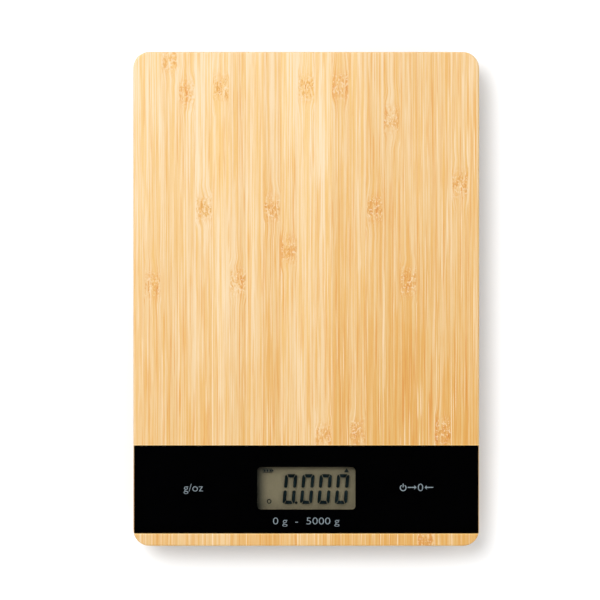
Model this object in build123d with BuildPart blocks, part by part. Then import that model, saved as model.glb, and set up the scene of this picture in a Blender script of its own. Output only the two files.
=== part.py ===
"""A slim kitchen scale: a bamboo platform with a display strip, on one load cell.

Millimetres, +Z up, X to the right, the display at the front, -Y.
The origin is the middle of the footprint, on the surface that the feet stand on.
The base carries the fixed end of the load cell. Its other end carries the platform.
"""

from build123d import *
from math import pi, radians, tan
import os

os.makedirs("parts", exist_ok=True)

upward = (Align.CENTER, Align.CENTER, Align.MIN)
downward = (Align.CENTER, Align.CENTER, Align.MAX)

# ------------------------------------------------------------ driving dimensions
overall_height = 18.0
board_width = 161.0
board_length = 230.0
board_thickness = 8.0
board_corner = 7.5
board_edge_round = 0.8
pocket_width = 141.0  # pocket for the tray, under the board
pocket_length = 211.0
pocket_depth = 3.0
slot_front_margin = 5.7  # bamboo left in front of the display strip
slot_length = 41.1
slot_depth = 2.3
slot_edge_chamfer = 0.25
glass_thickness = 2.0
ink_thickness = 0.12
glass_gap = 0.06  # between the glass and the ink behind it

foot_stand = 2.0  # how far the feet stand out of the base
base_width = 148.0
base_length = 218.0
base_corner = 6.0
base_wall = 1.8
rim_gap = 1.0  # between the rim of the base and the platform
platform_travel = 0.5
stop_gap = 0.1  # left over the posts at the end of the travel
tray_width = 140.0
tray_length = 210.0
tray_thickness = 1.5
tape_thickness = 0.3

cell_length = 60.0
cell_width = 12.0
cell_height = 6.0
platform_spacer_height = 0.6
circuit_thickness = 1.2
circuit_pad_height = 0.4
coin_radius = 10.0
coin_height = 3.2

# ------------------------------------------------------------------ worked heights
board_top = overall_height
board_bottom = board_top - board_thickness
pocket_ceiling = board_bottom + pocket_depth
tray_top = pocket_ceiling - tape_thickness
tray_bottom = tray_top - tray_thickness
slot_floor = board_top - slot_depth
glass_bottom = board_top - glass_thickness
mask_top = glass_bottom - glass_gap
mask_bottom = mask_top - ink_thickness
base_bottom = foot_stand
base_floor = base_bottom + base_wall
rim_top = board_bottom - rim_gap
cell_top = tray_bottom - platform_spacer_height
cell_bottom = cell_top - cell_height
cell_middle = cell_bottom + cell_height / 2
circuit_top = tray_bottom - circuit_pad_height
circuit_bottom = circuit_top - circuit_thickness

# ------------------------------------------------------------------- worked places
slot_y = -board_length / 2 + slot_front_margin + slot_length / 2
display_y = slot_y + 0.55  # middle of the display, the keys and the circuit board
display_offset = display_y - slot_y
key_x = 52.0
well_y = -50.0  # middle of the battery well
cell_screw_y = (19.5, 26.5)  # distances from the middle of the load cell
cell_screw_pitch = cell_screw_y[1] - cell_screw_y[0]
gauge_y = 5.5
foot_places = {
    "foot_front_left": (-60.0, -95.0),
    "foot_front_right": (60.0, -95.0),
    "foot_rear_left": (-60.0, 95.0),
    "foot_rear_right": (60.0, 95.0),
}
stop_places = [(x, y) for x in (-56.0, 56.0) for y in (-62.0, 62.0)]
tray_screw_places = [(x, y) for x in (-64.5, 64.5) for y in (-98.0, -32.0, 34.0, 98.0)]
circuit_screw_places = [
    (x, display_y + y) for x in (-34.0, 34.0) for y in (-10.5, 10.5)
] + [(x, display_y + 10.5) for x in (-56.0, 56.0)]
key_places = {"unit": (-key_x, display_y), "tare": (key_x, display_y)}

# ============================================================ the base and its feet
stem_radius = 2.0
bead_radius = 2.9
bead_height = 1.2
foot_radius = 8.0
foot_recess = 1.0
foot_play = 0.2
foot_boss_top = 4.8
foot_boss_wall = 1.6
tread_radii = (2.4, 5.0)
tread_width = 0.8
tread_depth = 0.5
rib_width = 1.2
base_rib_height = 1.4
base_rib_pitch = 36.0
stop_radius = 2.5
stop_top = tray_bottom - stop_gap - platform_travel
head_radius = 2.9
screw_radius = 1.5
head_height = head_radius - screw_radius
screw_play = 0.1

# The battery well is a stepped bore: recess for the cover, ledge, lug track, cell bore.
cover_radius = 14.0
cover_thickness = 1.4
recess_top = base_bottom + 1.5
ledge_top = recess_top + 1.1
track_top = ledge_top + 1.6
neck_radius = 11.6
track_radius = 13.2
cell_bore_radius = 10.6
well_roof = 8.0
well_top = 9.2
well_radius = 16.0
contact_slot_width = 4.6
contact_slot_bottom = 7.2
lug_angles = (90, 210, 330)
lug_width = 30  # degrees
cover_turn = 45  # degrees from locked to free
notch_width = lug_width + 8
stop_width = 6
mark_radius = 17.6
mark_depth = 0.3


def ring_sector(plane, inner, outer, middle, width):
    """Part of a ring on plane, between two radii, width degrees about middle."""
    with BuildSketch(plane) as sector:
        with BuildLine():
            outer_arc = CenterArc((0, 0), outer, middle - width / 2, width)
            inner_arc = CenterArc((0, 0), inner, middle - width / 2, width)
            Line(outer_arc @ 0, inner_arc @ 0)
            Line(outer_arc @ 1, inner_arc @ 1)
        make_face()
    return sector.sketch


ledge_plane = Plane((0, well_y, recess_top))
track_plane = Plane((0, well_y, ledge_top))
entry_notches = [
    ring_sector(ledge_plane, neck_radius - 0.5, track_radius, angle - cover_turn, notch_width)
    for angle in lug_angles
]
stop_offset = lug_width / 2 + stop_width / 2 + 2
track_stops = [
    ring_sector(track_plane, neck_radius, track_radius + 0.5, angle + side, stop_width)
    for angle in lug_angles
    for side in (stop_offset, -cover_turn - stop_offset)
]

with BuildPart() as base_tray:
    with BuildSketch(Plane.XY.offset(base_bottom)):
        RectangleRounded(base_width, base_length, base_corner)
    extrude(amount=rim_top - base_bottom)
    fillet(base_tray.faces().sort_by(Axis.Z)[0].edges(), 1.4)
    with BuildSketch(Plane.XY.offset(base_floor)):
        RectangleRounded(
            base_width - 2 * base_wall, base_length - 2 * base_wall, base_corner - base_wall
        )
    extrude(amount=rim_top, mode=Mode.SUBTRACT)
    # floor ribs, low enough for the leads to pass over
    with BuildSketch(Plane.XY.offset(base_floor)):
        for spacing in (60, 100):
            with GridLocations(spacing, 0, 2, 1):
                Rectangle(rib_width, base_length - 2 * base_wall)
        with GridLocations(82.4, base_rib_pitch, 2, 5):
            Rectangle(62, rib_width)
    extrude(amount=base_rib_height)
    # foot bosses and the posts that stop the platform when it is overloaded
    with BuildSketch(Plane.XY.offset(base_floor)):
        with Locations(*foot_places.values()):
            Circle(foot_radius + foot_boss_wall)
    extrude(amount=foot_boss_top - base_floor)
    with BuildSketch(Plane.XY.offset(base_floor)):
        with Locations(*stop_places):
            Circle(stop_radius)
    extrude(amount=stop_top - base_floor)
    with BuildSketch(Plane((0, well_y, base_floor))):
        Circle(well_radius)
    extrude(amount=well_top - base_floor)
    fillet(base_tray.faces().filter_by(Plane.XY).group_by(Axis.Z)[-1].edges(), 0.3)
    # foot recesses with the hole for each stem
    with BuildSketch(Plane.XY.offset(base_bottom)):
        with Locations(*foot_places.values()):
            Circle(foot_radius + foot_play)
    extrude(amount=foot_recess, mode=Mode.SUBTRACT)
    with BuildSketch(Plane.XY.offset(base_bottom)):
        with Locations(*foot_places.values()):
            Circle(stem_radius + foot_play / 2)
    extrude(amount=foot_boss_top, mode=Mode.SUBTRACT)
    # countersunk holes for the fixed end of the load cell
    with Locations(*[(0, -y, base_bottom) for y in cell_screw_y]):
        Cone(head_radius + screw_play, screw_radius + screw_play, head_height, align=upward,
             mode=Mode.SUBTRACT)
        Cylinder(screw_radius + screw_play, base_wall, align=upward, mode=Mode.SUBTRACT)
    # the stepped bore of the battery well
    for bottom, top, radius in (
        (base_bottom, recess_top, cover_radius + 0.3),
        (recess_top, ledge_top, neck_radius),
        (ledge_top, track_top, track_radius),
        (track_top, well_roof, cell_bore_radius),
    ):
        with BuildSketch(Plane((0, well_y, bottom))):
            Circle(radius)
        extrude(amount=top - bottom, mode=Mode.SUBTRACT)
    for notch in entry_notches:
        extrude(notch, amount=ledge_top - recess_top, mode=Mode.SUBTRACT)
    for stop in track_stops:
        extrude(stop, amount=track_top - ledge_top)
    # slots that let the two contacts out of the well
    with BuildSketch(Plane((0, well_y, contact_slot_bottom))):
        with Locations((0.75 * well_radius, 0)):
            Rectangle(well_radius, contact_slot_width)
        with Locations((0, -0.75 * well_radius)):
            Rectangle(contact_slot_width, well_radius)
    extrude(amount=well_roof - contact_slot_bottom, mode=Mode.SUBTRACT)
    # moulded lock and unlock marks beside the cover
    with BuildSketch(Plane((0, well_y, base_bottom))):
        with PolarLocations(mark_radius, 1, start_angle=lug_angles[0]):
            RegularPolygon(1.3, 3, rotation=180)
        with PolarLocations(mark_radius, 1, start_angle=lug_angles[0] - cover_turn):
            Circle(0.9)
    extrude(amount=mark_depth, mode=Mode.SUBTRACT)
base_tray.part.label = "base_tray"
export_step(base_tray.part, "parts/base_tray.step")

# Each foot is a rubber pad held by a stem with a bead that snaps through the floor.
for name, (x, y) in foot_places.items():
    with BuildPart() as foot:
        with BuildSketch(Plane((x, y, 0))):
            Circle(foot_radius)
        extrude(amount=foot_stand + foot_recess)
        fillet(foot.edges().sort_by(Axis.Z)[0], 0.7)
        with BuildSketch(Plane((x, y, 0))):
            for tread_radius in tread_radii:
                Circle(tread_radius + tread_width)
                Circle(tread_radius, mode=Mode.SUBTRACT)
        extrude(amount=tread_depth, mode=Mode.SUBTRACT)
        with BuildSketch(Plane((x, y, foot_stand + foot_recess))):
            Circle(stem_radius)
        extrude(amount=foot_boss_top - foot_stand - foot_recess)
        with BuildSketch(Plane((x, y, foot_boss_top))):
            Circle(bead_radius)
        extrude(amount=bead_height)
        fillet(foot.edges().sort_by(Axis.Z)[-1], 0.8)
    foot.part.label = name
    export_step(foot.part, f"parts/{name}.step")

# ================================================================== the battery
coin_bottom = base_bottom + cover_thickness + 0.6
coin_crimp = coin_bottom + 2.4
coin_top = coin_bottom + coin_height
can_height = 2.9
gasket_height = 0.6
cap_radius = 8.9
crimp_radius = 9.3

with BuildPart() as coin_cell_can:
    with BuildSketch(Plane((0, well_y, coin_bottom))):
        Circle(coin_radius)
    extrude(amount=can_height)
    fillet(coin_cell_can.edges().sort_by(Axis.Z)[0], 0.4)
    with BuildSketch(Plane((0, well_y, coin_crimp))):
        Circle(crimp_radius)
    extrude(amount=can_height, mode=Mode.SUBTRACT)
coin_cell_can.part.label = "coin_cell_can"
export_step(coin_cell_can.part, "parts/coin_cell_can.step")

with BuildPart() as coin_cell_gasket:
    with BuildSketch(Plane((0, well_y, coin_crimp))):
        Circle(crimp_radius)
        Circle(cap_radius, mode=Mode.SUBTRACT)
    extrude(amount=gasket_height)
coin_cell_gasket.part.label = "coin_cell_gasket"
export_step(coin_cell_gasket.part, "parts/coin_cell_gasket.step")

with BuildPart() as coin_cell_cap:
    with BuildSketch(Plane((0, well_y, coin_crimp))):
        Circle(cap_radius)
    extrude(amount=coin_top - coin_crimp)
    fillet(coin_cell_cap.edges().sort_by(Axis.Z)[-1], 0.3)
coin_cell_cap.part.label = "coin_cell_cap"
export_step(coin_cell_cap.part, "parts/coin_cell_cap.step")

# The contacts are bent strips, drawn from the side along their middle line.
contact_width = 4.0
contact_thickness = 0.25
contact_height = 7.6
contact_gap = 0.2  # from the cell to the middle of each strip
tab_reach = 19.0

with BuildPart() as battery_contact_positive:
    with BuildSketch(Plane.XZ.offset(-well_y)):
        with BuildLine():
            FilletPolyline(
                (coin_radius + contact_gap, coin_bottom + 2.5),
                (coin_radius + contact_gap, contact_height),
                (tab_reach, contact_height),
                radius=0.3,
            )
        trace(line_width=contact_thickness)
    extrude(amount=contact_width / 2, both=True)
battery_contact_positive.part.label = "battery_contact_positive"
export_step(battery_contact_positive.part, "parts/battery_contact_positive.step")

with BuildPart() as battery_contact_negative:
    with BuildSketch(Plane.YZ):
        with BuildLine():
            FilletPolyline(
                (well_y + 5, contact_height),
                (well_y + 1, coin_top + contact_gap),
                (well_y - 1, coin_top + contact_gap),
                (well_y - 6, contact_height),
                (well_y - tab_reach, contact_height),
                radius=0.6,
            )
        trace(line_width=contact_thickness)
    extrude(amount=contact_width / 2, both=True)
battery_contact_negative.part.label = "battery_contact_negative"
export_step(battery_contact_negative.part, "parts/battery_contact_negative.step")

# The cover turns by a coin. Its lugs lock above the ledge and leave by the notches.
collar_radius = 11.3
collar_wall = 1.0
coin_slot_length = 17.0
coin_slot_width = 1.8
coin_slot_depth = 0.8
lug_bottom = ledge_top + 0.1
lug_top = track_top - 0.3
lug_plane = Plane((0, well_y, lug_bottom))
lugs = [
    ring_sector(lug_plane, collar_radius - 0.3, track_radius - 0.3, angle, lug_width)
    for angle in lug_angles
]

with BuildPart() as battery_cover:
    with BuildSketch(Plane((0, well_y, base_bottom))):
        Circle(cover_radius)
    extrude(amount=cover_thickness)
    fillet(battery_cover.edges().sort_by(Axis.Z)[0], 0.3)
    with BuildSketch(Plane((0, well_y, base_bottom + cover_thickness))):
        Circle(collar_radius)
        Circle(collar_radius - collar_wall, mode=Mode.SUBTRACT)
    extrude(amount=lug_top - base_bottom - cover_thickness)
    for lug in lugs:
        extrude(lug, amount=lug_top - lug_bottom)
    with BuildSketch(Plane((0, well_y, base_bottom + cover_thickness))):
        with PolarLocations(6, 3):
            Rectangle(5, rib_width)
    extrude(amount=coin_bottom - base_bottom - cover_thickness - 0.05)
    with BuildSketch(Plane((0, well_y, base_bottom))):
        SlotOverall(coin_slot_length, coin_slot_width)
    extrude(amount=coin_slot_depth, mode=Mode.SUBTRACT)
    with BuildSketch(Plane((0, well_y, base_bottom))):
        with PolarLocations(cover_radius - 2.4, 1, start_angle=lug_angles[0]):
            RegularPolygon(1.2, 3, rotation=0)
    extrude(amount=mark_depth, mode=Mode.SUBTRACT)
battery_cover.part.label = "battery_cover"
export_step(battery_cover.part, "parts/battery_cover.step")

# ================================================================== the load cell
hole_play = 0.06
bending_bore_radius = 2.3
bending_slot_width = 1.6
gauge_thickness = 0.08
sealant_thickness = 0.27
side_sealant_thickness = 1.2
spacer_length = 13.0

with BuildPart() as load_cell:
    with BuildSketch(Plane.XY.offset(cell_bottom)):
        Rectangle(cell_width, cell_length)
        with Locations(*[(0, side * y) for side in (-1, 1) for y in cell_screw_y]):
            Circle(screw_radius + hole_play, mode=Mode.SUBTRACT)
    extrude(amount=cell_height)
    chamfer(load_cell.edges().filter_by(Axis.Z).group_by(SortBy.LENGTH)[-1].group_by(Axis.Y)[0], 0.4)
    # two joined bores make the thin bending sections above and below them
    with BuildSketch(Plane.YZ):
        with Locations((-gauge_y, cell_middle), (gauge_y, cell_middle)):
            Circle(bending_bore_radius)
        with Locations((0, cell_middle)):
            Rectangle(2 * gauge_y, bending_slot_width)
    extrude(amount=cell_width, both=True, mode=Mode.SUBTRACT)
load_cell.part.label = "load_cell"
export_step(load_cell.part, "parts/load_cell.step")

with BuildPart() as strain_gauges:
    for gauge_bottom in (cell_bottom - gauge_thickness, cell_top):
        with BuildSketch(Plane.XY.offset(gauge_bottom)):
            with Locations((0, -gauge_y), (0, gauge_y)):
                Rectangle(5, 4)
        extrude(amount=gauge_thickness)
strain_gauges.part.label = "strain_gauges"
export_step(strain_gauges.part, "parts/strain_gauges.step")

# Silicone covers the gauges and holds the leads where they leave the side of the cell.
sealant_x = -cell_width / 2 - side_sealant_thickness

with BuildPart() as gauge_sealant:
    for layer_bottom in (
        cell_bottom - gauge_thickness - sealant_thickness,
        cell_top + gauge_thickness,
    ):
        with BuildSketch(Plane.XY.offset(layer_bottom)):
            RectangleRounded(cell_width - 1, 22, 3)
        extrude(amount=sealant_thickness)
    with BuildSketch(Plane.YZ.offset(sealant_x)):
        with Locations((3, cell_middle)):
            RectangleRounded(10, 4.4, 1.5)
    extrude(amount=side_sealant_thickness)
gauge_sealant.part.label = "gauge_sealant"
export_step(gauge_sealant.part, "parts/gauge_sealant.step")

for name, middle, bottom, top in (
    ("cell_base_spacer", -sum(cell_screw_y) / 2, base_floor, cell_bottom),
    ("cell_platform_spacer", sum(cell_screw_y) / 2, cell_top, tray_bottom),
):
    with BuildPart() as spacer:
        with BuildSketch(Plane.XY.offset(bottom)):
            with Locations((0, middle)):
                RectangleRounded(cell_width, spacer_length, 1)
                with GridLocations(0, cell_screw_pitch, 1, 2):
                    Circle(screw_radius + 2 * screw_play, mode=Mode.SUBTRACT)
        extrude(amount=top - bottom)
    spacer.part.label = name
    export_step(spacer.part, f"parts/{name}.step")

# Countersunk screws hold each end of the cell, from below and from above.
screw_length = 7.2
recess_arm = 3.2
recess_width = 0.8
recess_depth = 0.8

with BuildPart() as cell_base_screws:
    with Locations(*[(0, -y, base_bottom) for y in cell_screw_y]):
        Cone(head_radius, screw_radius, head_height, align=upward)
        Cylinder(screw_radius, screw_length, align=upward)
        Box(recess_arm, recess_width, 2 * recess_depth, mode=Mode.SUBTRACT)
        Box(recess_width, recess_arm, 2 * recess_depth, mode=Mode.SUBTRACT)
cell_base_screws.part.label = "cell_base_screws"
export_step(cell_base_screws.part, "parts/cell_base_screws.step")

with BuildPart() as cell_platform_screws:
    with Locations(*[(0, y, tray_top) for y in cell_screw_y]):
        Cone(screw_radius, head_radius, head_height, align=downward)
        Cylinder(screw_radius, screw_length, align=downward)
        Box(recess_arm, recess_width, 2 * recess_depth, mode=Mode.SUBTRACT)
        Box(recess_width, recess_arm, 2 * recess_depth, mode=Mode.SUBTRACT)
cell_platform_screws.part.label = "cell_platform_screws"
export_step(cell_platform_screws.part, "parts/cell_platform_screws.step")

# ============================================================== the bamboo platform
display_window = (54.4, 28.4)  # hole in the board and the tray for the display holder
display_window_corner = 2.0
key_hole_radius = 5.5
pilot_radius = 1.3
pilot_depth = 2.4
tray_corner = 5.5
flange_width = 1.2
flange_height = 1.4
tray_rib_height = 1.0
tray_rib_length = 177.0
tray_rib_y = 16.5
circuit_screw_radius = 1.0
near = 0.01

with BuildPart() as bamboo_board:
    with BuildSketch(Plane.XY.offset(board_bottom)):
        RectangleRounded(board_width, board_length, board_corner)
    extrude(amount=board_thickness)
    fillet(bamboo_board.faces().filter_by(Axis.Z).edges(), board_edge_round)
    # slot for the display strip, cut right across
    with BuildSketch(Plane((0, slot_y, slot_floor))):
        Rectangle(board_width + 2, slot_length)
    extrude(amount=slot_depth + 1, mode=Mode.SUBTRACT)
    slot_edges = (
        bamboo_board.edges()
        .filter_by(Axis.X)
        .filter_by_position(Axis.Z, board_top - near, board_top + near)
        .filter_by_position(Axis.Y, slot_y - slot_length / 2 - near, slot_y + slot_length / 2 + near)
    )
    chamfer(slot_edges, slot_edge_chamfer)
    # pocket underneath for the tray, and the holes up into the slot
    with BuildSketch(Plane.XY.offset(board_bottom)):
        RectangleRounded(pocket_width, pocket_length, tray_corner + 0.5)
    extrude(amount=pocket_depth, mode=Mode.SUBTRACT)
    with BuildSketch(Plane.XY.offset(pocket_ceiling)):
        with Locations((0, display_y)):
            RectangleRounded(*display_window, display_window_corner)
        with Locations(*key_places.values()):
            Circle(key_hole_radius)
    extrude(amount=slot_floor - pocket_ceiling, mode=Mode.SUBTRACT)
    with BuildSketch(Plane.XY.offset(pocket_ceiling)):
        with Locations(*tray_screw_places):
            Circle(pilot_radius + hole_play)
    extrude(amount=pilot_depth, mode=Mode.SUBTRACT)
bamboo_board.part.label = "bamboo_board"
export_step(bamboo_board.part, "parts/bamboo_board.step")

with BuildPart() as platform_tray:
    with BuildSketch(Plane.XY.offset(tray_bottom)):
        RectangleRounded(tray_width, tray_length, tray_corner)
    extrude(amount=tray_thickness)
    # perimeter flange and ribs on the underside
    with BuildSketch(Plane.XY.offset(tray_bottom)):
        RectangleRounded(tray_width, tray_length, tray_corner)
        RectangleRounded(
            tray_width - 2 * flange_width, tray_length - 2 * flange_width,
            tray_corner - flange_width, mode=Mode.SUBTRACT,
        )
    extrude(amount=-flange_height)
    with BuildSketch(Plane.XY.offset(tray_bottom)):
        for spacing in (40, 84):
            with GridLocations(spacing, 0, 2, 1), Locations((0, tray_rib_y)):
                Rectangle(rib_width, tray_rib_length)
        with Locations((0, -71.4), (0, 66), (0, 92)):
            Rectangle(tray_width - flange_width, rib_width)
        with GridLocations(81, 37, 2, 2), Locations((0, 2)):
            Rectangle(57, rib_width)
    extrude(amount=-tray_rib_height)
    # pads that the circuit board is screwed to
    with BuildSketch(Plane.XY.offset(tray_bottom)):
        with Locations(*circuit_screw_places):
            Circle(2.2)
    extrude(amount=-circuit_pad_height)
    # openings for the display, the key springs and the gauges
    with BuildSketch(Plane.XY.offset(tray_bottom)):
        with Locations((0, display_y)):
            RectangleRounded(*display_window, display_window_corner)
        with Locations(*key_places.values()):
            Circle(key_hole_radius)
        with Locations((0, -9)):
            RectangleRounded(16, 48, 2)
    extrude(amount=tray_thickness, mode=Mode.SUBTRACT)
    with BuildSketch(Plane.XY.offset(circuit_top)):
        with Locations(*circuit_screw_places):
            Circle(circuit_screw_radius + hole_play)
    extrude(amount=circuit_pad_height + tray_thickness, mode=Mode.SUBTRACT)
    with BuildSketch(Plane.XY.offset(tray_bottom)):
        with Locations(*tray_screw_places):
            Circle(pilot_radius + hole_play)
    extrude(amount=tray_thickness, mode=Mode.SUBTRACT)
    with Locations(*[(0, y, tray_top) for y in cell_screw_y]):
        Cone(screw_radius + screw_play, head_radius + screw_play, head_height, align=downward,
             mode=Mode.SUBTRACT)
        Cylinder(screw_radius + screw_play, tray_thickness, align=downward, mode=Mode.SUBTRACT)
platform_tray.part.label = "platform_tray"
export_step(platform_tray.part, "parts/platform_tray.step")

with BuildPart() as tray_tape:
    with BuildSketch(Plane.XY.offset(tray_top)):
        with GridLocations(30, 0, 4, 1), Locations((0, 18)):
            Rectangle(8, 150)
    extrude(amount=tape_thickness)
tray_tape.part.label = "tray_tape"
export_step(tray_tape.part, "parts/tray_tape.step")

pan_radius = 2.4
pan_height = 1.1

with BuildPart() as tray_screws:
    with Locations(*[(x, y, tray_bottom) for x, y in tray_screw_places]):
        Cylinder(pan_radius, pan_height, align=downward)
        Cylinder(pilot_radius, 4.0, align=upward)
    with Locations(*[(x, y, tray_bottom - pan_height) for x, y in tray_screw_places]):
        Box(2.6, 0.6, pan_height, mode=Mode.SUBTRACT)
        Box(0.6, 2.6, pan_height, mode=Mode.SUBTRACT)
tray_screws.part.label = "tray_screws"
export_step(tray_screws.part, "parts/tray_screws.step")

# ============================================================== the display strip
strip_width = board_width - 0.5
strip_length = slot_length - 0.2
strip_corner = 0.4
window_size = (45.8, 19.8)  # the clear part of the strip
window_corner = 1.7

with BuildPart() as display_glass:
    with BuildSketch(Plane((0, slot_y, glass_bottom))):
        RectangleRounded(strip_width, strip_length, strip_corner)
    extrude(amount=glass_thickness)
    chamfer(display_glass.edges().group_by(Axis.Z)[-1], 0.15)
display_glass.part.label = "display_glass"
export_step(display_glass.part, "parts/display_glass.step")

with BuildPart() as display_mask:
    with BuildSketch(Plane((0, slot_y, mask_bottom))):
        RectangleRounded(strip_width - 0.1, strip_length - 0.1, strip_corner)
        with Locations((0, display_offset)):
            RectangleRounded(*window_size, window_corner, mode=Mode.SUBTRACT)
    extrude(amount=ink_thickness)
display_mask.part.label = "display_mask"
export_step(display_mask.part, "parts/display_mask.step")

with BuildPart() as strip_tape:
    with BuildSketch(Plane((0, slot_y, slot_floor))):
        Rectangle(strip_width - 2, strip_length - 1)
        with Locations((0, display_offset)):
            Rectangle(*display_window, mode=Mode.SUBTRACT)
        with Locations((-key_x, display_offset), (key_x, display_offset)):
            Circle(key_hole_radius + 0.5, mode=Mode.SUBTRACT)
    extrude(amount=mask_bottom - slot_floor)
strip_tape.part.label = "strip_tape"
export_step(strip_tape.part, "parts/strip_tape.step")

# ================================================================== the display
# A liquid crystal display: two panes with a seal between them and a film on each side.
pane_width = 50.0
pane_length = 24.0
rear_pane_length = 20.6  # shorter, so that the front pane shows its contact ledges
reflector_bottom = 12.6
rear_pane_bottom = 12.8
seal_bottom = 13.8
front_pane_bottom = 13.9
polarizer_bottom = 15.0
display_top = 15.2

for name, bottom, top, length in (
    ("display_reflector", reflector_bottom, rear_pane_bottom, rear_pane_length),
    ("display_rear_pane", rear_pane_bottom, seal_bottom, rear_pane_length),
    ("display_front_pane", front_pane_bottom, polarizer_bottom, pane_length),
    ("display_polarizer", polarizer_bottom, display_top, pane_length - 1),
):
    with BuildPart() as layer:
        with BuildSketch(Plane((0, display_y, bottom))):
            Rectangle(pane_width, length)
        extrude(amount=top - bottom)
    layer.part.label = name
    export_step(layer.part, f"parts/{name}.step")

with BuildPart() as display_seal:
    with BuildSketch(Plane((0, display_y, seal_bottom))):
        Rectangle(pane_width, rear_pane_length)
        Rectangle(pane_width - 1.6, rear_pane_length - 0.6, mode=Mode.SUBTRACT)
    extrude(amount=front_pane_bottom - seal_bottom)
display_seal.part.label = "display_seal"
export_step(display_seal.part, "parts/display_seal.step")

with BuildPart() as contact_strips:
    with BuildSketch(Plane((0, display_y, circuit_top))):
        with GridLocations(0, 22.2, 1, 2):
            Rectangle(46, 1.2)
    extrude(amount=front_pane_bottom - circuit_top)
contact_strips.part.label = "contact_strips"
export_step(contact_strips.part, "parts/contact_strips.step")

# The holder presses the display onto its contact strips. Its pegs are melted over.
holder_size = (53.2, 27.2)
peg_spacing = (51.8, 25.8)
holder_opening = (47.4, 21.4)
holder_corner = 1.2
lip_height = 0.4
peg_radius = 0.6
peg_head_radius = 1.1
peg_head_height = 0.5

with BuildPart() as display_holder:
    with BuildSketch(Plane((0, display_y, circuit_top))):
        RectangleRounded(*holder_size, holder_corner)
        Rectangle(pane_width + 0.4, pane_length + 0.4, mode=Mode.SUBTRACT)
    extrude(amount=display_top - circuit_top)
    with BuildSketch(Plane((0, display_y, display_top))):
        RectangleRounded(*holder_size, holder_corner)
        RectangleRounded(*holder_opening, display_window_corner, mode=Mode.SUBTRACT)
    extrude(amount=lip_height)
    with BuildSketch(Plane((0, display_y, circuit_bottom))):
        with GridLocations(*peg_spacing, 2, 2):
            Circle(peg_radius)
    extrude(amount=circuit_thickness)
    with BuildSketch(Plane((0, display_y, circuit_bottom))):
        with GridLocations(*peg_spacing, 2, 2):
            Circle(peg_head_radius)
    extrude(amount=-peg_head_height)
display_holder.part.label = "display_holder"
export_step(display_holder.part, "parts/display_holder.step")

# ================================================================ the electronics
circuit_size = (118.0, 29.0)
circuit_head_radius = 1.9
circuit_head_height = 1.0

with BuildPart() as circuit_board:
    with BuildSketch(Plane((0, display_y, circuit_bottom))):
        RectangleRounded(*circuit_size, 1)
        with Locations(*[(x, y - display_y) for x, y in circuit_screw_places]):
            Circle(circuit_screw_radius + 0.15, mode=Mode.SUBTRACT)
        with GridLocations(*peg_spacing, 2, 2):
            Circle(peg_radius + 0.1, mode=Mode.SUBTRACT)
    extrude(amount=circuit_thickness)
circuit_board.part.label = "circuit_board"
export_step(circuit_board.part, "parts/circuit_board.step")

with BuildPart() as circuit_screws:
    with Locations(*[(x, y, circuit_bottom) for x, y in circuit_screw_places]):
        Cylinder(circuit_head_radius, circuit_head_height, align=downward)
        Cylinder(circuit_screw_radius, 2.9, align=upward)
    with Locations(*[(x, y, circuit_bottom - circuit_head_height) for x, y in circuit_screw_places]):
        Box(2.2, 0.5, circuit_head_height, mode=Mode.SUBTRACT)
        Box(0.5, 2.2, circuit_head_height, mode=Mode.SUBTRACT)
circuit_screws.part.label = "circuit_screws"
export_step(circuit_screws.part, "parts/circuit_screws.step")

# The controller is a bare chip under a drop of black resin.
controller_x = -12.0
chip_height = 1.4

with BuildPart() as controller_resin:
    with BuildSketch(Plane((controller_x, display_y, circuit_bottom))):
        Circle(6.5)
    extrude(amount=-chip_height)
    fillet(controller_resin.edges().sort_by(Axis.Z)[0], 1.2)
controller_resin.part.label = "controller_resin"
export_step(controller_resin.part, "parts/controller_resin.step")

# The converter chip reads the load cell. Its legs are separate solids in one node.
converter_x = -38.0
leg_pitch = 1.27
leg_count = 8
leg_thickness = 0.15
leg_root_z = circuit_bottom - 0.85
leg_tip_z = circuit_bottom - leg_thickness / 2

with BuildPart() as converter_chip:
    with BuildSketch(Plane((converter_x, display_y, circuit_bottom - 0.15))):
        Rectangle(10, 4)
    extrude(amount=-chip_height)
    chamfer(converter_chip.faces().sort_by(Axis.Z)[0].edges(), 0.25)
converter_chip.part.label = "converter_chip"
export_step(converter_chip.part, "parts/converter_chip.step")

with BuildPart() as converter_legs:
    for side in (-1, 1):
        with BuildSketch(Plane.YZ.offset(converter_x)) as leg_profile:
            with BuildLine():
                FilletPolyline(
                    (display_y + side * 2.0, leg_root_z),
                    (display_y + side * 2.4, leg_root_z),
                    (display_y + side * 2.6, leg_tip_z),
                    (display_y + side * 3.2, leg_tip_z),
                    radius=0.12,
                )
            trace(line_width=leg_thickness)
        with GridLocations(leg_pitch, 0, leg_count, 1):
            add(extrude(leg_profile.sketch, amount=0.2, both=True, mode=Mode.PRIVATE))
converter_legs.part.label = "converter_legs"
export_step(converter_legs.part, "parts/converter_legs.step")

capacitor_place = (40.0, display_y + 4.0)
capacitor_foot_height = 0.6

with BuildPart() as smoothing_capacitor:
    with Locations((*capacitor_place, circuit_bottom)):
        Box(4.3, 4.3, capacitor_foot_height, align=downward)
    with Locations((*capacitor_place, circuit_bottom - capacitor_foot_height)):
        Cylinder(2.0, 2.6, align=downward)
    fillet(smoothing_capacitor.edges().sort_by(Axis.Z)[0], 0.3)
smoothing_capacitor.part.label = "smoothing_capacitor"
export_step(smoothing_capacitor.part, "parts/smoothing_capacitor.step")

resistor_length = 1.6
resistor_width = 0.8
resistor_height = 0.5

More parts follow.
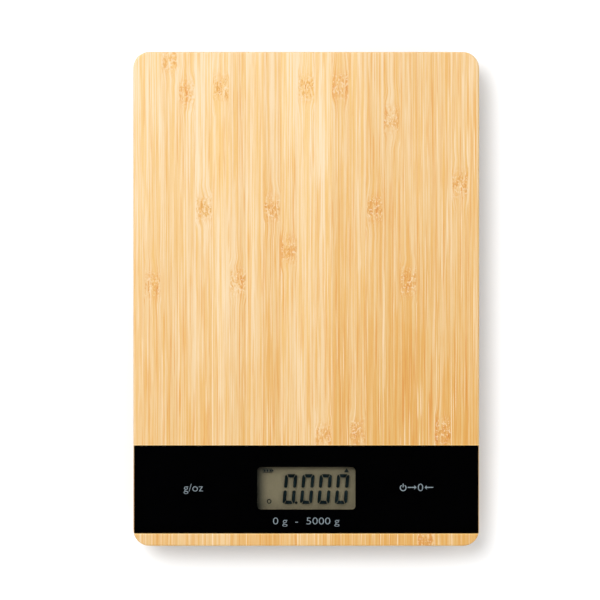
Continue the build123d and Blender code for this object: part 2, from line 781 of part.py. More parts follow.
with BuildPart() as chip_resistors:
    with BuildSketch(Plane((0, display_y, circuit_bottom))):
        with Locations((10, 0)):
            with GridLocations(4, 5, 3, 3):
                Rectangle(resistor_length, resistor_width)
        with Locations((27, -4)):
            with GridLocations(4, 4, 2, 2):
                Rectangle(resistor_width, resistor_length)
    extrude(amount=-resistor_height)
chip_resistors.part.label = "chip_resistors"
export_step(chip_resistors.part, "parts/chip_resistors.step")

# Touch keys: a foil disc behind the mask and a coil spring up to it from the board.
foil_radius = 5.0
foil_thickness = 0.08
spring_radius = 2.6
spring_wire = 0.25
spring_turns = 5
spring_bottom = circuit_top + spring_wire
spring_height = mask_bottom - foil_thickness - spring_wire - spring_bottom

for key, (x, y) in key_places.items():
    with BuildPart() as key_foil:
        with BuildSketch(Plane((x, y, mask_bottom - foil_thickness))):
            Circle(foil_radius)
        extrude(amount=foil_thickness)
    key_foil.part.label = f"{key}_key_foil"
    export_step(key_foil.part, f"parts/{key}_key_foil.step")

    with BuildPart() as key_spring:
        with BuildLine() as coil:
            Helix(
                pitch=spring_height / spring_turns, height=spring_height, radius=spring_radius,
                center=(x, y, spring_bottom),
            )
        with BuildSketch(Plane(coil.line @ 0, z_dir=coil.line % 0)):
            Circle(spring_wire)
        sweep(is_frenet=True)
    key_spring.part.label = f"{key}_key_spring"
    export_step(key_spring.part, f"parts/{key}_key_spring.step")

# ====================================================================== the leads
# Each lead is a row of points. Its bends are as large as the runs beside them allow.
pad_y = display_y + 12.0
pad_z = circuit_bottom
cell_lead_radius = 0.45
battery_lead_radius = 0.55
lane_pitch = 1.5


def bend_radii(points):
    """0.45 of the shorter run at each corner, over the tangent of half the turn."""
    radii = []
    for before, corner, after in zip(points, points[1:], points[2:]):
        run_in = Vector(*corner) - Vector(*before)
        run_out = Vector(*after) - Vector(*corner)
        shorter = min(run_in.length, run_out.length)
        radii.append(0.45 * shorter / tan(radians(run_in.get_angle(run_out) / 2)))
    return radii


lead_routes = {}
for place, colour in enumerate(("green", "white", "black", "red")):
    lane_x = -20.0 - lane_pitch * place
    start_y = 0.6 + 1.6 * place
    lead_routes[f"cell_lead_{colour}"] = (
        cell_lead_radius,
        [
            (sealant_x, start_y, cell_middle),
            (-10.5 - 0.6 * place, start_y, cell_middle),
            (lane_x + 3.5, start_y - 4.5, 7.2),
            (lane_x + 0.3, start_y - 14.0, 6.5),
            (lane_x, -34.0, 6.2),
            (lane_x + 0.4, -50.0, 6.1),
            (lane_x, -64.0, 6.3),
            (lane_x + 0.2, -72.0, 6.6),
            (lane_x, pad_y, 7.4),
            (lane_x, pad_y, pad_z),
        ],
    )
lead_routes["battery_lead_red"] = (
    battery_lead_radius,
    [
        (tab_reach, well_y - 1.0, contact_height),
        (tab_reach + 2.2, well_y - 1.0, contact_height),
        (tab_reach + 4.0, well_y - 4.0, 7.1),
        (tab_reach + 4.2, well_y - 10.0, 6.6),
        (tab_reach + 3.0, well_y - 17.0, 6.4),
        (tab_reach + 1.8, well_y - 22.5, 6.7),
        (tab_reach + 1.6, pad_y, 7.4),
        (tab_reach + 1.6, pad_y, pad_z),
    ],
)
lead_routes["battery_lead_black"] = (
    battery_lead_radius,
    [
        (1.0, well_y - tab_reach, contact_height),
        (1.0, well_y - tab_reach - 1.8, contact_height),
        (3.0, well_y - tab_reach - 4.2, 7.2),
        (6.2, well_y - tab_reach - 6.4, 7.1),
        (7.8, pad_y, 7.5),
        (7.8, pad_y, pad_z),
    ],
)

for name, (lead_radius, points) in lead_routes.items():
    with BuildPart() as lead:
        with BuildLine() as route:
            FilletPolyline(*points, radius=bend_radii(points))
        with BuildSketch(Plane(route.line @ 0, z_dir=route.line % 0)):
            Circle(lead_radius)
        sweep()
    lead.part.label = name
    export_step(lead.part, f"parts/{name}.step")
    # the volume is that of the section along the whole route
    print(name, "volume over section times length:",
          round(lead.part.volume / (pi * lead_radius**2 * route.wire().length), 4),
          "radii:", [round(radius, 1) for radius in bend_radii(points)])
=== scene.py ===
"""Finishes and small pieces of a slim kitchen scale, built on its packed frame."""

import math

import bmesh
import bpy
from bpy.props import FloatProperty, FloatVectorProperty, IntProperty
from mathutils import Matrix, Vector


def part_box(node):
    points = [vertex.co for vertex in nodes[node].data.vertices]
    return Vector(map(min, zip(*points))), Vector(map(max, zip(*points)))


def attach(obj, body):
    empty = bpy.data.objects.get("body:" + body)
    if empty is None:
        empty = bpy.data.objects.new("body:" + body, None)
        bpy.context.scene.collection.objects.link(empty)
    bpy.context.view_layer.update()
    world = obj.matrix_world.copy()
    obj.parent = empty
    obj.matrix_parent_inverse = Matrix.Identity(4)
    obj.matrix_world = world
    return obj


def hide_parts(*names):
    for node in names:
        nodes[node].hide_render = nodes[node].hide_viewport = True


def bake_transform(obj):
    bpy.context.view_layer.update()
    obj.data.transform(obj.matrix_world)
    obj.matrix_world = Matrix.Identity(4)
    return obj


bl_info = {
    "name": "Kitchen Scale",
    "version": (1, 0, 0),
    "blender": (4, 5, 0),
    "location": "View3D > Sidebar > Scale",
    "description": "Finishes and small pieces of a slim kitchen scale with a bamboo platform",
    "category": "Add Mesh",
}

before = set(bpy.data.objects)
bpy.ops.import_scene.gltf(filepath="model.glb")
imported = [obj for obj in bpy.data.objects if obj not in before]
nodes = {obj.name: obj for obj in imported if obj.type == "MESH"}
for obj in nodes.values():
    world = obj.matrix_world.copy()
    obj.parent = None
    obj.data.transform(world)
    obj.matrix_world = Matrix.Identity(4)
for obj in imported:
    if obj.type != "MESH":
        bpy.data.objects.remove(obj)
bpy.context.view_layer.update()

MM = 0.001

# Rows of knots: height along the board in mm from its middle, and the glued strips that have a knot there,
# counted from the middle one. A strip with no row has no knot on the board.
KNOT_ROWS = {
    110: (-8,),
    98: (-7, -5, 0, 2),
    85: (5,),
    55: (9,),
    42: (-6, -2, 4),
    22: (-1,),
    8: (-9, -4, 6),
    -63: (1, 3, 8),
    -112: (7,),
}
# The heights reach the shader as shades of grey: 0 to 1 stands for KNOT_REACH to either side of the middle.
KNOT_REACH = 400.0
NO_KNOT = -390.0
KNOT_SHIFT = 2.0
STRIPS_EACH_SIDE = 10


# ---------------------------------------------------------------- sizes and colours


def length(name, description, millimetres):
    return FloatProperty(
        name=name, description=description, default=millimetres * MM, unit="LENGTH", precision=5
    )


def share(name, description, value):
    return FloatProperty(
        name=name, description=description, default=value, min=0.0, max=1.0, subtype="FACTOR"
    )


def colour(name, description, red, green, blue):
    return FloatVectorProperty(
        name=name, description=description, default=(red, green, blue), size=3, min=0.0, max=1.0,
        subtype="COLOR",
    )


class BoardSettings(bpy.types.PropertyGroup):
    """Sizes and colours of the bamboo board"""

    strip_width: length("Strip width", "Width of one glued bamboo strip", 7.95)
    seam_width: length("Seam width", "Width of the glue line between two strips", 0.22)
    tone_spread: share("Tone spread", "How much the strips differ in tone", 0.42)
    # painted sheen: how much paler the rear left is than the front right, as the key light's sheen falls, and
    # how strong the random cloudy tone is
    sheen_and_cloud: share("Sheen And Cloud", "How much deeper the front right of the board is than the rear left", 0.7)
    pale: colour("Pale bamboo", "Colour of the palest strips", 0.632, 0.500, 0.330)
    deep: colour("Deep bamboo", "Colour of the deepest strips", 0.522, 0.318, 0.100)
    streak: colour("Streak tint", "Tint of the fine streaks over the colour of a strip", 0.95, 0.765, 0.40)
    fibre: colour("Fibre tint", "Tint of the dark fibre lines", 0.94, 0.75, 0.46)
    knot: colour("Knot tint", "Tint of the flecks in a knot", 0.86, 0.745, 0.33)


class StripSettings(bpy.types.PropertyGroup):
    """Sizes and colours of the display strip"""

    ink: colour("Ink", "Colour of the printing behind the glass", 0.0003, 0.0003, 0.0004)
    lettering: colour("Lettering", "Colour of the signs and numbers on the strip", 0.20, 0.233, 0.268)
    unit_height: length("Unit sign height", "Height of the unit signs at the left key", 3.6)
    unit_width: length("Unit sign width", "Width of the unit signs at the left key", 9.1)
    zero_height: length("Zero sign height", "Height of the zero between arrows at the right key", 3.5)
    zero_width: length("Zero sign width", "Width of the zero between arrows at the right key", 11.9)
    power_size: length("Power sign size", "Width of the power sign at the right key", 3.1)
    range_height: length("Range line height", "Height of the numbers under the display", 3.2)
    range_width: length("Range line width", "Width of the numbers under the display", 31.0)


class DisplaySettings(bpy.types.PropertyGroup):
    """Sizes and colours of the liquid crystal display"""

    window_width: length("Window width", "Width of the clear window over the display", 45.8)
    window_height: length("Window height", "Height of the clear window over the display", 19.8)
    digit_count: IntProperty(name="Digits", description="Number of digits shown", default=4, min=1, max=6)
    digit_height: length("Digit height", "Height of one digit", 13.9)
    digit_width: length("Digit width", "Width of one digit", 5.7)
    digit_pitch: length("Digit pitch", "Distance from one digit to the next", 8.1)
    segment_width: length("Segment width", "Width of one segment", 1.55)
    slant: FloatProperty(
        name="Slant", description="How far the digits lean", default=math.radians(5.6), subtype="ANGLE"
    )
    segment: colour("Segment", "Colour of a segment that is on", 0.007, 0.012, 0.015)
    reflector: colour("Reflector", "Colour of the film behind the display", 0.235, 0.172, 0.114)


class HardwareSettings(bpy.types.PropertyGroup):
    """Sizes of the screws, springs and solder joints"""

    thread_pitch: length("Thread pitch", "Distance between two turns of a thread", 0.8)
    thread_depth: length("Thread depth", "Depth of a thread, inwards from the shank", 0.22)
    spring_radius: length("Spring radius", "Radius of a key spring, to the middle of its wire", 2.6)
    spring_wire: length("Spring wire", "Radius of the wire of a key spring", 0.25)
    spring_turns: FloatProperty(
        name="Spring turns", description="Turns of a key spring", default=5.0, min=1.0
    )
    solder_radius: length("Solder radius", "Radius of a solder joint", 0.9)


class BodySettings(bpy.types.PropertyGroup):
    """Colours and textures of the plastic and rubber pieces"""

    base: colour("Base plastic", "Colour of the base and its battery cover", 0.022, 0.022, 0.024)
    tray: colour("Tray plastic", "Colour of the tray under the board", 0.03, 0.03, 0.032)
    rubber: colour("Rubber", "Colour of the feet", 0.035, 0.035, 0.036)
    grain_size: length("Grain size", "Size of the moulded texture", 0.35)
    grain_height: length("Grain height", "Height of the moulded texture", 0.018)


class StageSettings(bpy.types.PropertyGroup):
    """Camera, lights and floor"""

    camera_height: length("Camera height", "Height of the camera over the floor", 2500.0)
    focal_length: FloatProperty(name="Focal length", description="Focal length of the camera", default=319.9)
    key_power: FloatProperty(
        name="Key light", description="Power of the soft main light", default=50.0, min=0.0
    )
    side_power: FloatProperty(
        name="Side light", description="Power of the weak light at the front right", default=24.0, min=0.0
    )
    key_size: length("Light size", "Width of the soft lights", 1650.0)
    fill_strength: FloatProperty(
        name="Fill", description="Strength of the light all round", default=0.94, min=0.0
    )
    floor: colour("Floor", "Colour of the floor", 0.84, 0.845, 0.85)


# ---------------------------------------------------------------- node trees


class Sheet:
    """A node tree that is being drawn."""

    def __init__(self, tree):
        self.tree = tree

    def add(self, kind, inputs=None, **settings):
        """Adds a node, with its settings, and gives its inputs a value or a link."""
        made = self.tree.nodes.new(kind)
        for name, value in settings.items():
            setattr(made, name, value)
        for name, value in (inputs or {}).items():
            if isinstance(value, bpy.types.NodeSocket):
                self.tree.links.new(value, made.inputs[name])
            else:
                made.inputs[name].default_value = value
        return made

    def math(self, operation, *values, clamp=False):
        node = self.add("ShaderNodeMath", dict(enumerate(values)), operation=operation, use_clamp=clamp)
        return node.outputs[0]

    def vector_math(self, operation, *values):
        return self.add("ShaderNodeVectorMath", dict(enumerate(values)), operation=operation).outputs[0]

    def fade(self, value, start, end, low=0.0, high=1.0):
        """A smooth step of value, from low at start to high at end."""
        inputs = {"Value": value, "From Min": start, "From Max": end, "To Min": low, "To Max": high}
        return self.add("ShaderNodeMapRange", inputs, interpolation_type="SMOOTHSTEP").outputs["Result"]

    def mix(self, factor, first, second, blend="MIX"):
        made = self.add("ShaderNodeMix", data_type="RGBA", blend_type=blend)
        for socket, value in ((made.inputs[0], factor), (made.inputs[6], first), (made.inputs[7], second)):
            if isinstance(value, bpy.types.NodeSocket):
                self.tree.links.new(value, socket)
            else:
                socket.default_value = value if isinstance(value, float) else (*value[:3], 1.0)
        return made.outputs[2]

    def noise(self, vector, scale=1.0, detail=2.0, roughness=0.5):
        inputs = {"Vector": vector, "Scale": scale, "Detail": detail, "Roughness": roughness}
        return self.add("ShaderNodeTexNoise", inputs).outputs["Fac"]

    def stretched(self, vector, x, y, z):
        return self.vector_math("MULTIPLY", vector, (x, y, z))

    def vector(self, x=0.0, y=0.0, z=0.0):
        return self.add("ShaderNodeCombineXYZ", {0: x, 1: y, 2: z}).outputs[0]

    def split(self, vector):
        """The x, y and z of a vector."""
        return self.add("ShaderNodeSeparateXYZ", {"Vector": vector}).outputs

    def copied(self, shape, points, **settings):
        """Real copies of a shape, one on every point."""
        inputs = {"Points": points, "Instance": shape, **settings}
        copies = self.add("GeometryNodeInstanceOnPoints", inputs).outputs[0]
        return self.add("GeometryNodeRealizeInstances", {"Geometry": copies}).outputs[0]

    def painted(self, shape, material):
        return self.add("GeometryNodeSetMaterial", {"Geometry": shape, "Material": material}).outputs[0]

    def millimetres(self):
        """The piece's own coordinates in millimetres."""
        place = self.add("ShaderNodeTexCoord").outputs["Object"]
        return self.vector_math("MULTIPLY", place, (1 / MM, 1 / MM, 1 / MM))


def new_group(name, kind, inputs, outputs):
    """An empty node group with named sockets, its sheet, its input node and its output node."""
    group = bpy.data.node_groups.new(name, kind)
    for socket_name, (socket_kind, default) in inputs.items():
        socket = group.interface.new_socket(socket_name, in_out="INPUT", socket_type=socket_kind)
        if default is not None:
            socket.default_value = default
    for socket_name, socket_kind in outputs.items():
        group.interface.new_socket(socket_name, in_out="OUTPUT", socket_type=socket_kind)
    sheet = Sheet(group)
    return group, sheet, sheet.add("NodeGroupInput").outputs, sheet.add("NodeGroupOutput")


def send(sheet, target, values):
    for name, socket in values.items():
        sheet.tree.links.new(socket, target.inputs[name])


def rgba(value):
    return (*value[:3], 1.0)


def new_material(name):
    """An empty material, its sheet and its output node."""
    material = bpy.data.materials.new(name)
    material.use_nodes = True
    material.node_tree.nodes.clear()
    sheet = Sheet(material.node_tree)
    return material, sheet, sheet.add("ShaderNodeOutputMaterial")


def shared_group(name, build):
    return bpy.data.node_groups.get(name) or build(name)


def build_surface_grain(name):
    """Small uneven grain of a moulded, printed, cast or plated surface: shade, gloss and height."""
    number, shade = "NodeSocketFloat", "NodeSocketColor"
    inputs = {
        "Colour": (shade, (0.5, 0.5, 0.5, 1.0)),
        "Second Colour": (shade, (0.4, 0.4, 0.4, 1.0)),
        "Grain Size": (number, 0.4),
        "Stretch": ("NodeSocketVector", (1.0, 1.0, 1.0)),
        "Patch Size": (number, 14.0),
        "Roughness": (number, 0.5),
        "Roughness Spread": (number, 0.1),
    }
    outputs = {"Colour": shade, "Roughness": number, "Height": number}
    group, sheet, given, end = new_group(name, "ShaderNodeTree", inputs, outputs)
    place = sheet.vector_math("MULTIPLY", sheet.millimetres(), given["Stretch"])
    fine = sheet.noise(place, sheet.math("DIVIDE", 1.0, given["Grain Size"]), 3.0, 0.6)
    patch = sheet.noise(place, sheet.math("DIVIDE", 1.0, given["Patch Size"]), 4.0, 0.6)
    smear_size = sheet.math("DIVIDE", 3.0, given["Patch Size"])
    smear = sheet.noise(sheet.stretched(place, 1.0, 0.35, 1.0), smear_size, 3.0)
    blend = sheet.math("ADD", sheet.fade(patch, 0.3, 0.7, 0.0, 0.6), sheet.fade(fine, 0.3, 0.7, 0.0, 0.4))
    spread = sheet.math("SUBTRACT", sheet.math("ADD", sheet.math("MULTIPLY", fine, 0.5), smear), 0.75)
    rough = sheet.math("MULTIPLY_ADD", spread, given["Roughness Spread"], given["Roughness"], clamp=True)
    send(sheet, end, {"Colour": sheet.mix(blend, given["Colour"], given["Second Colour"]), "Roughness": rough,
                      "Height": fine})
    return group


def build_floor_dust(name):
    """Fine dust and scuffing that gathers low down on a piece: a colour and a mask."""
    number, shade = "NodeSocketFloat", "NodeSocketColor"
    inputs = {
        "Colour": (shade, (0.5, 0.5, 0.5, 1.0)),
        "Dust": (shade, (0.32, 0.30, 0.27, 1.0)),
        "Amount": (number, 0.2),
        "Top": (number, 6.0),
    }
    outputs = {"Colour": shade, "Mask": number}
    group, sheet, given, end = new_group(name, "ShaderNodeTree", inputs, outputs)
    place = sheet.millimetres()
    low = sheet.fade(sheet.split(place)["Z"], given["Top"], 0.0)
    specks = sheet.fade(sheet.noise(place, 1.7, 5.0, 0.7), 0.5, 0.75)
    film = sheet.fade(sheet.noise(place, 0.12, 3.0), 0.4, 0.7, 0.2, 1.0)
    mask = sheet.math("MULTIPLY", sheet.math("MULTIPLY", sheet.math("ADD", specks, 0.25), film),
                      sheet.math("MULTIPLY", low, given["Amount"]), clamp=True)
    send(sheet, end, {"Colour": sheet.mix(mask, given["Colour"], given["Dust"]), "Mask": mask})
    return group


def build_bamboo(name):
    """Glued bamboo strips with their fibres, seams and knots, a painted sheen that pales the rear left, and a
    painted highlight along the slot edges.
    """
    number, shade = "NodeSocketFloat", "NodeSocketColor"
    inputs = {
        "Strip Width": (number, 7.95),
        "Seam Width": (number, 0.22),
        "Tone Spread": (number, 0.5),
        "Sheen And Cloud": (number, 0.5),
        "Slot Front": (number, -109.0),
        "Slot Back": (number, -68.0),
        "Slot Floor": (number, 15.0),
        "Pale": (shade, None),
        "Deep": (shade, None),
        "Streak": (shade, None),
        "Fibre": (shade, None),
        "Knot": (shade, None),
    }
    outputs = {"Colour": shade, "Roughness": number, "Height": number}
    group, sheet, given, end = new_group(name, "ShaderNodeTree", inputs, outputs)
    place = sheet.millimetres()
    x, y, z = sheet.split(place)
    across = sheet.math("ADD", sheet.math("DIVIDE", x, given["Strip Width"]), 0.5)
    index = sheet.math("FLOOR", across)
    side = sheet.math("SUBTRACT", sheet.math("SUBTRACT", across, index), 0.5)
    seed = sheet.math("ADD", index, 41.37)
    chance = sheet.add("ShaderNodeTexWhiteNoise", {"W": seed}, noise_dimensions="1D")
    luck = sheet.add("ShaderNodeSeparateColor", {"Color": chance.outputs["Color"]}).outputs

    # knots: each strip has its own place along the board, or none
    strips_shown = 2 * STRIPS_EACH_SIDE + 1
    shifted = sheet.math("ADD", index, STRIPS_EACH_SIDE + 0.5)
    table = sheet.add("ShaderNodeValToRGB", {"Fac": sheet.math("DIVIDE", shifted, float(strips_shown))})
    table.color_ramp.interpolation = "CONSTANT"
    stops = table.color_ramp.elements
    row_of = {strip: row for row, strips in KNOT_ROWS.items() for strip in strips}
    for count in range(strips_shown):
        stop = stops.new(count / strips_shown) if count else stops[0]
        height = (row_of.get(count - STRIPS_EACH_SIDE, NO_KNOT) + KNOT_REACH) / (2 * KNOT_REACH)
        stop.color = (height, height, height, 1.0)
    stops.remove(stops[-1])
    height = sheet.add("ShaderNodeSeparateColor", {"Color": table.outputs["Color"]}).outputs[0]
    height = sheet.math("MULTIPLY_ADD", height, 2 * KNOT_REACH, -KNOT_REACH - KNOT_SHIFT)
    height = sheet.math("MULTIPLY_ADD", luck[0], 2 * KNOT_SHIFT, height)
    gap = sheet.math("ABSOLUTE", sheet.math("SUBTRACT", y, height))
    ragged = sheet.math("ADD", gap, sheet.math("MULTIPLY_ADD", sheet.noise(place, 0.5, 2.0), 8.0, -4.0))
    band = sheet.fade(ragged, 5.5, 2.5)
    wide = sheet.fade(gap, 22.0, 2.0)
    inside = sheet.fade(sheet.math("ABSOLUTE", side), 0.5, 0.40)

    # fibres run along the board and swell beside a knot
    swirl = sheet.add("ShaderNodeTexNoise", {"Vector": place, "Scale": 0.09, "Detail": 1.5}).outputs["Fac"]
    sway = sheet.math("MULTIPLY_ADD", swirl, 2.0, -1.0)
    swell = sheet.math("MULTIPLY", sway, sheet.math("MULTIPLY", wide, 1.8))
    flare = sheet.math("MULTIPLY", sheet.math("MULTIPLY", side, sheet.fade(gap, 14.0, 1.0)), -2.4)
    swell = sheet.math("ADD", swell, flare)
    bent_x = sheet.math("ADD", sheet.math("ADD", x, swell), sheet.math("MULTIPLY", luck[0], 300.0))
    bent = sheet.vector(bent_x, sheet.math("MULTIPLY_ADD", luck[1], 900.0, y), z)
    broad = sheet.noise(sheet.stretched(bent, 0.42, 0.011, 0.42), 1.0, 1.5)
    lines = sheet.noise(sheet.stretched(bent, 1.15, 0.013, 1.15), 1.0, 2.0, 0.55)
    threads = sheet.noise(sheet.stretched(bent, 2.3, 0.017, 2.3), 1.0, 2.0, 0.6)
    bundles = sheet.noise(sheet.stretched(bent, 1.7, 0.028, 1.7), 1.0, 1.0)
    pale_lines = sheet.noise(sheet.stretched(bent, 1.9, 0.020, 1.9), 1.3, 1.0)
    hairs = sheet.noise(sheet.stretched(bent, 8.0, 0.10, 8.0), 1.0, 2.0, 0.6)
    cloud = sheet.noise(place, 0.03, 3.0)

    # painted sheen: paler toward the rear left under the key light and deeper toward the front right, with a
    # random cloudy tone on top
    sheen_and_cloud_tone = sheet.math("ADD", sheet.math("MULTIPLY", x, 0.0026), sheet.math("MULTIPLY", y, -0.0046))
    sheen_and_cloud_tone = sheet.math("MULTIPLY", sheet.math("MULTIPLY_ADD", cloud, 0.6, sheet.math("SUBTRACT", sheen_and_cloud_tone, 0.3)),
                     given["Sheen And Cloud"])
    own = sheet.math("MULTIPLY", sheet.math("SUBTRACT", luck[2], 0.5), given["Tone Spread"])
    tone = sheet.math("ADD", sheet.math("ADD", own, sheen_and_cloud_tone), 0.47)
    tone = sheet.math("MULTIPLY_ADD", sheet.math("SUBTRACT", broad, 0.5), 0.6, tone)
    tone = sheet.math("MAXIMUM", sheet.math("MINIMUM", tone, 1.0), 0.0)
    wood = sheet.mix(tone, given["Pale"], given["Deep"])
    streak = 0.5
    for fibres, amount in ((broad, 0.6), (lines, 3.2), (threads, 3.2), (hairs, 1.5)):
        streak = sheet.math("MULTIPLY_ADD", sheet.math("SUBTRACT", fibres, 0.5), amount, streak)
    streak = sheet.math("MAXIMUM", sheet.math("MINIMUM", streak, 1.0), 0.0)
    wood = sheet.mix(streak, wood, given["Streak"], "MULTIPLY")
    wood = sheet.mix(sheet.fade(pale_lines, 0.40, 0.30, 0.0, 0.7), wood, given["Pale"])
    wood = sheet.mix(sheet.fade(bundles, 0.57, 0.67, 0.0, 0.8), wood, given["Fibre"], "MULTIPLY")

    # knot: ragged flecks and pale dots among swirled fibres, stronger in some strips than in others
    curl = sheet.noise(sheet.stretched(place, 0.30, 0.20, 0.30), 1.0, 2.0)
    curled_x = sheet.math("MULTIPLY_ADD", curl, 3.2, x)
    curled = sheet.vector(curled_x, sheet.math("MULTIPLY", y, 0.36), z)
    ripples = sheet.noise(curled, 1.25, 2.0, 0.6)
    dots = sheet.noise(sheet.stretched(place, 1.0, 0.8, 1.0), 1.3, 1.0)
    boldness = sheet.fade(luck[1], 0.0, 1.0, 0.45, 1.0)
    scar = sheet.math("MULTIPLY", sheet.math("MULTIPLY", band, inside), boldness)
    halo = sheet.math("MULTIPLY", sheet.fade(gap, 10.0, 1.0), inside)
    rings = sheet.math("MULTIPLY", halo, sheet.fade(ripples, 0.38, 0.58, 0.1, 0.9))
    wood = sheet.mix(rings, wood, given["Fibre"], "MULTIPLY")
    flecks = sheet.math("MULTIPLY", sheet.fade(ripples, 0.50, 0.62), scar)
    wood = sheet.mix(sheet.math("MULTIPLY", flecks, 0.85), wood, given["Knot"], "MULTIPLY")
    pips = sheet.math("MULTIPLY", sheet.fade(dots, 0.44, 0.34), sheet.fade(gap, 9.0, 3.0))
    wood = sheet.mix(sheet.math("MULTIPLY", sheet.math("MULTIPLY", pips, inside), 0.6), wood, given["Pale"])

    # seams are pale or dark lines
    edge = sheet.math("SUBTRACT", 0.5, sheet.math("ABSOLUTE", side))
    edge = sheet.math("MULTIPLY", edge, given["Strip Width"])
    seam = sheet.fade(edge, given["Seam Width"], sheet.math("MULTIPLY", given["Seam Width"], 0.3))
    joint = sheet.math("FLOOR", sheet.math("ADD", across, 0.5))
    which = sheet.add("ShaderNodeTexWhiteNoise", {"W": sheet.math("ADD", joint, 7.7)}, noise_dimensions="1D")
    patchy = sheet.fade(sheet.noise(sheet.stretched(place, 0.1, 0.03, 0.1), 1.0, 2.0), 0.35, 0.65, 0.3, 0.9)
    darker = sheet.mix(1.0, wood, given["Fibre"], "MULTIPLY")
    glue = sheet.mix(sheet.fade(which.outputs["Value"], 0.45, 0.55), given["Pale"], darker)
    wood = sheet.mix(sheet.math("MULTIPLY", seam, patchy), wood, glue)

    # the rounded outer edges and the sides are deeper, and a painted highlight makes the edges of the slot
    # paler
    upward = sheet.split(sheet.add("ShaderNodeNewGeometry").outputs["Normal"])[2]
    sideways = sheet.fade(sheet.math("ABSOLUTE", upward), 0.98, 0.55, 0.0, 0.45)
    wood = sheet.mix(sideways, wood, given["Deep"])
    near_front = sheet.math("ABSOLUTE", sheet.math("SUBTRACT", y, given["Slot Front"]))
    near_back = sheet.math("ABSOLUTE", sheet.math("SUBTRACT", y, given["Slot Back"]))
    slot_edge_highlight = sheet.fade(sheet.math("MINIMUM", near_front, near_back), 0.75, 0.35)
    above_floor = sheet.fade(sheet.math("SUBTRACT", z, given["Slot Floor"]), 0.0, 0.3)
    slot_edge_highlight = sheet.math("MULTIPLY", slot_edge_highlight, above_floor)
    # painted highlight: the colour along the slot edges is whitened as if the edges caught the light
    lighter = sheet.mix(1.0, wood, (1.24, 1.30, 1.40), "MULTIPLY")
    wood = sheet.mix(slot_edge_highlight, wood, lighter)

    rough = sheet.math("MULTIPLY_ADD", hairs, 0.10, 0.40)
    rough = sheet.math("ADD", rough, sheet.math("MULTIPLY", scar, 0.08))
    rough = sheet.math("MULTIPLY_ADD", cloud, 0.08, rough, clamp=True)
    relief = sheet.math("ADD", sheet.math("MULTIPLY", lines, -0.5), sheet.math("MULTIPLY", threads, -0.7))
    relief = sheet.math("ADD", relief, sheet.math("MULTIPLY", hairs, -0.3))
    relief = sheet.math("SUBTRACT", relief, sheet.math("ADD", seam, flecks))
    send(sheet, end, {"Colour": wood, "Roughness": rough, "Height": relief})
    return group


# ---------------------------------------------------------------- materials


def bamboo_material(settings):
    material, sheet, end = new_material("bamboo")
    glass_low, glass_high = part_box("display_glass")
    grain = sheet.add("ShaderNodeGroup", node_tree=shared_group("bamboo_grain", build_bamboo))
    values = {
        "Strip Width": settings.strip_width / MM, "Seam Width": settings.seam_width / MM,
        "Tone Spread": settings.tone_spread, "Sheen And Cloud": settings.sheen_and_cloud, "Pale": rgba(settings.pale),
        "Deep": rgba(settings.deep), "Streak": rgba(settings.streak), "Fibre": rgba(settings.fibre),
        "Knot": rgba(settings.knot),
        "Slot Front": glass_low.y / MM - 0.1, "Slot Back": glass_high.y / MM + 0.1,
        "Slot Floor": glass_low.z / MM,
    }
    for name, value in values.items():
        grain.inputs[name].default_value = value
    relief = {"Height": grain.outputs["Height"], "Distance": 0.03 * MM, "Strength": 0.6}
    bump = sheet.add("ShaderNodeBump", relief)
    skin = sheet.add("ShaderNodeBsdfPrincipled", {
        "Base Color": grain.outputs["Colour"], "Roughness": grain.outputs["Roughness"],
        "Normal": bump.outputs[0], "Coat Weight": 0.22, "Coat Roughness": 0.32, "IOR": 1.5,
    })
    send(sheet, end, {"Surface": skin.outputs[0]})
    return material


def grained_material(
    name, first, second, rough, spread=0.1, grain=0.4, patch=14.0, stretch=(1.0, 1.0, 1.0), relief=0.0,
    dust=0.0, **shader
):
    """A Principled material with a fine grain, and dust low down where asked."""
    material, sheet, end = new_material(name)
    surface = sheet.add("ShaderNodeGroup", node_tree=shared_group("surface_grain", build_surface_grain))
    values = {
        "Colour": rgba(first), "Second Colour": rgba(second), "Grain Size": grain, "Patch Size": patch,
        "Stretch": stretch, "Roughness": rough, "Roughness Spread": spread,
    }
    for socket, value in values.items():
        surface.inputs[socket].default_value = value
    shade, gloss = surface.outputs["Colour"], surface.outputs["Roughness"]
    if dust:
        film = sheet.add("ShaderNodeGroup", node_tree=shared_group("floor_dust", build_floor_dust))
        film.inputs["Amount"].default_value = dust
        sheet.tree.links.new(shade, film.inputs["Colour"])
        shade = film.outputs["Colour"]
        gloss = sheet.math("ADD", gloss, sheet.math("MULTIPLY", film.outputs["Mask"], 0.4), clamp=True)
    inputs = {"Base Color": shade, "Roughness": gloss}
    if relief:
        bump = {"Height": surface.outputs["Height"], "Distance": relief * MM, "Strength": 1.0}
        inputs["Normal"] = sheet.add("ShaderNodeBump", bump).outputs[0]
    skin = sheet.add("ShaderNodeBsdfPrincipled", inputs)
    for socket, value in shader.items():
        skin.inputs[socket.replace("_", " ")].default_value = value
    send(sheet, end, {"Surface": skin.outputs[0]})
    return material


def clear_material(name, tint, gloss_roughness=0.02, smudge=0.0, shine=1.0):
    """Clear glass or film: light goes straight through, and only the outer face reflects."""
    material, sheet, end = new_material(name)
    through = sheet.add("ShaderNodeBsdfTransparent", {"Color": rgba(tint)})
    mirror = sheet.add("ShaderNodeBsdfGlossy", {"Roughness": gloss_roughness})
    if smudge:
        print_marks = sheet.noise(sheet.millimetres(), 0.08, 6.0, 0.65)
        gloss = sheet.fade(print_marks, 0.5, 0.8, gloss_roughness, gloss_roughness + smudge)
        sheet.tree.links.new(gloss, mirror.inputs["Roughness"])
    inner = sheet.add("ShaderNodeNewGeometry").outputs["Backfacing"]
    edge = sheet.math("MULTIPLY", sheet.add("ShaderNodeFresnel", {"IOR": 1.5}).outputs[0],
                      sheet.math("MULTIPLY_ADD", inner, -shine, shine))
    skin = sheet.add("ShaderNodeMixShader", {0: edge, 1: through.outputs[0], 2: mirror.outputs[0]})
    send(sheet, end, {"Surface": skin.outputs[0]})
    return material


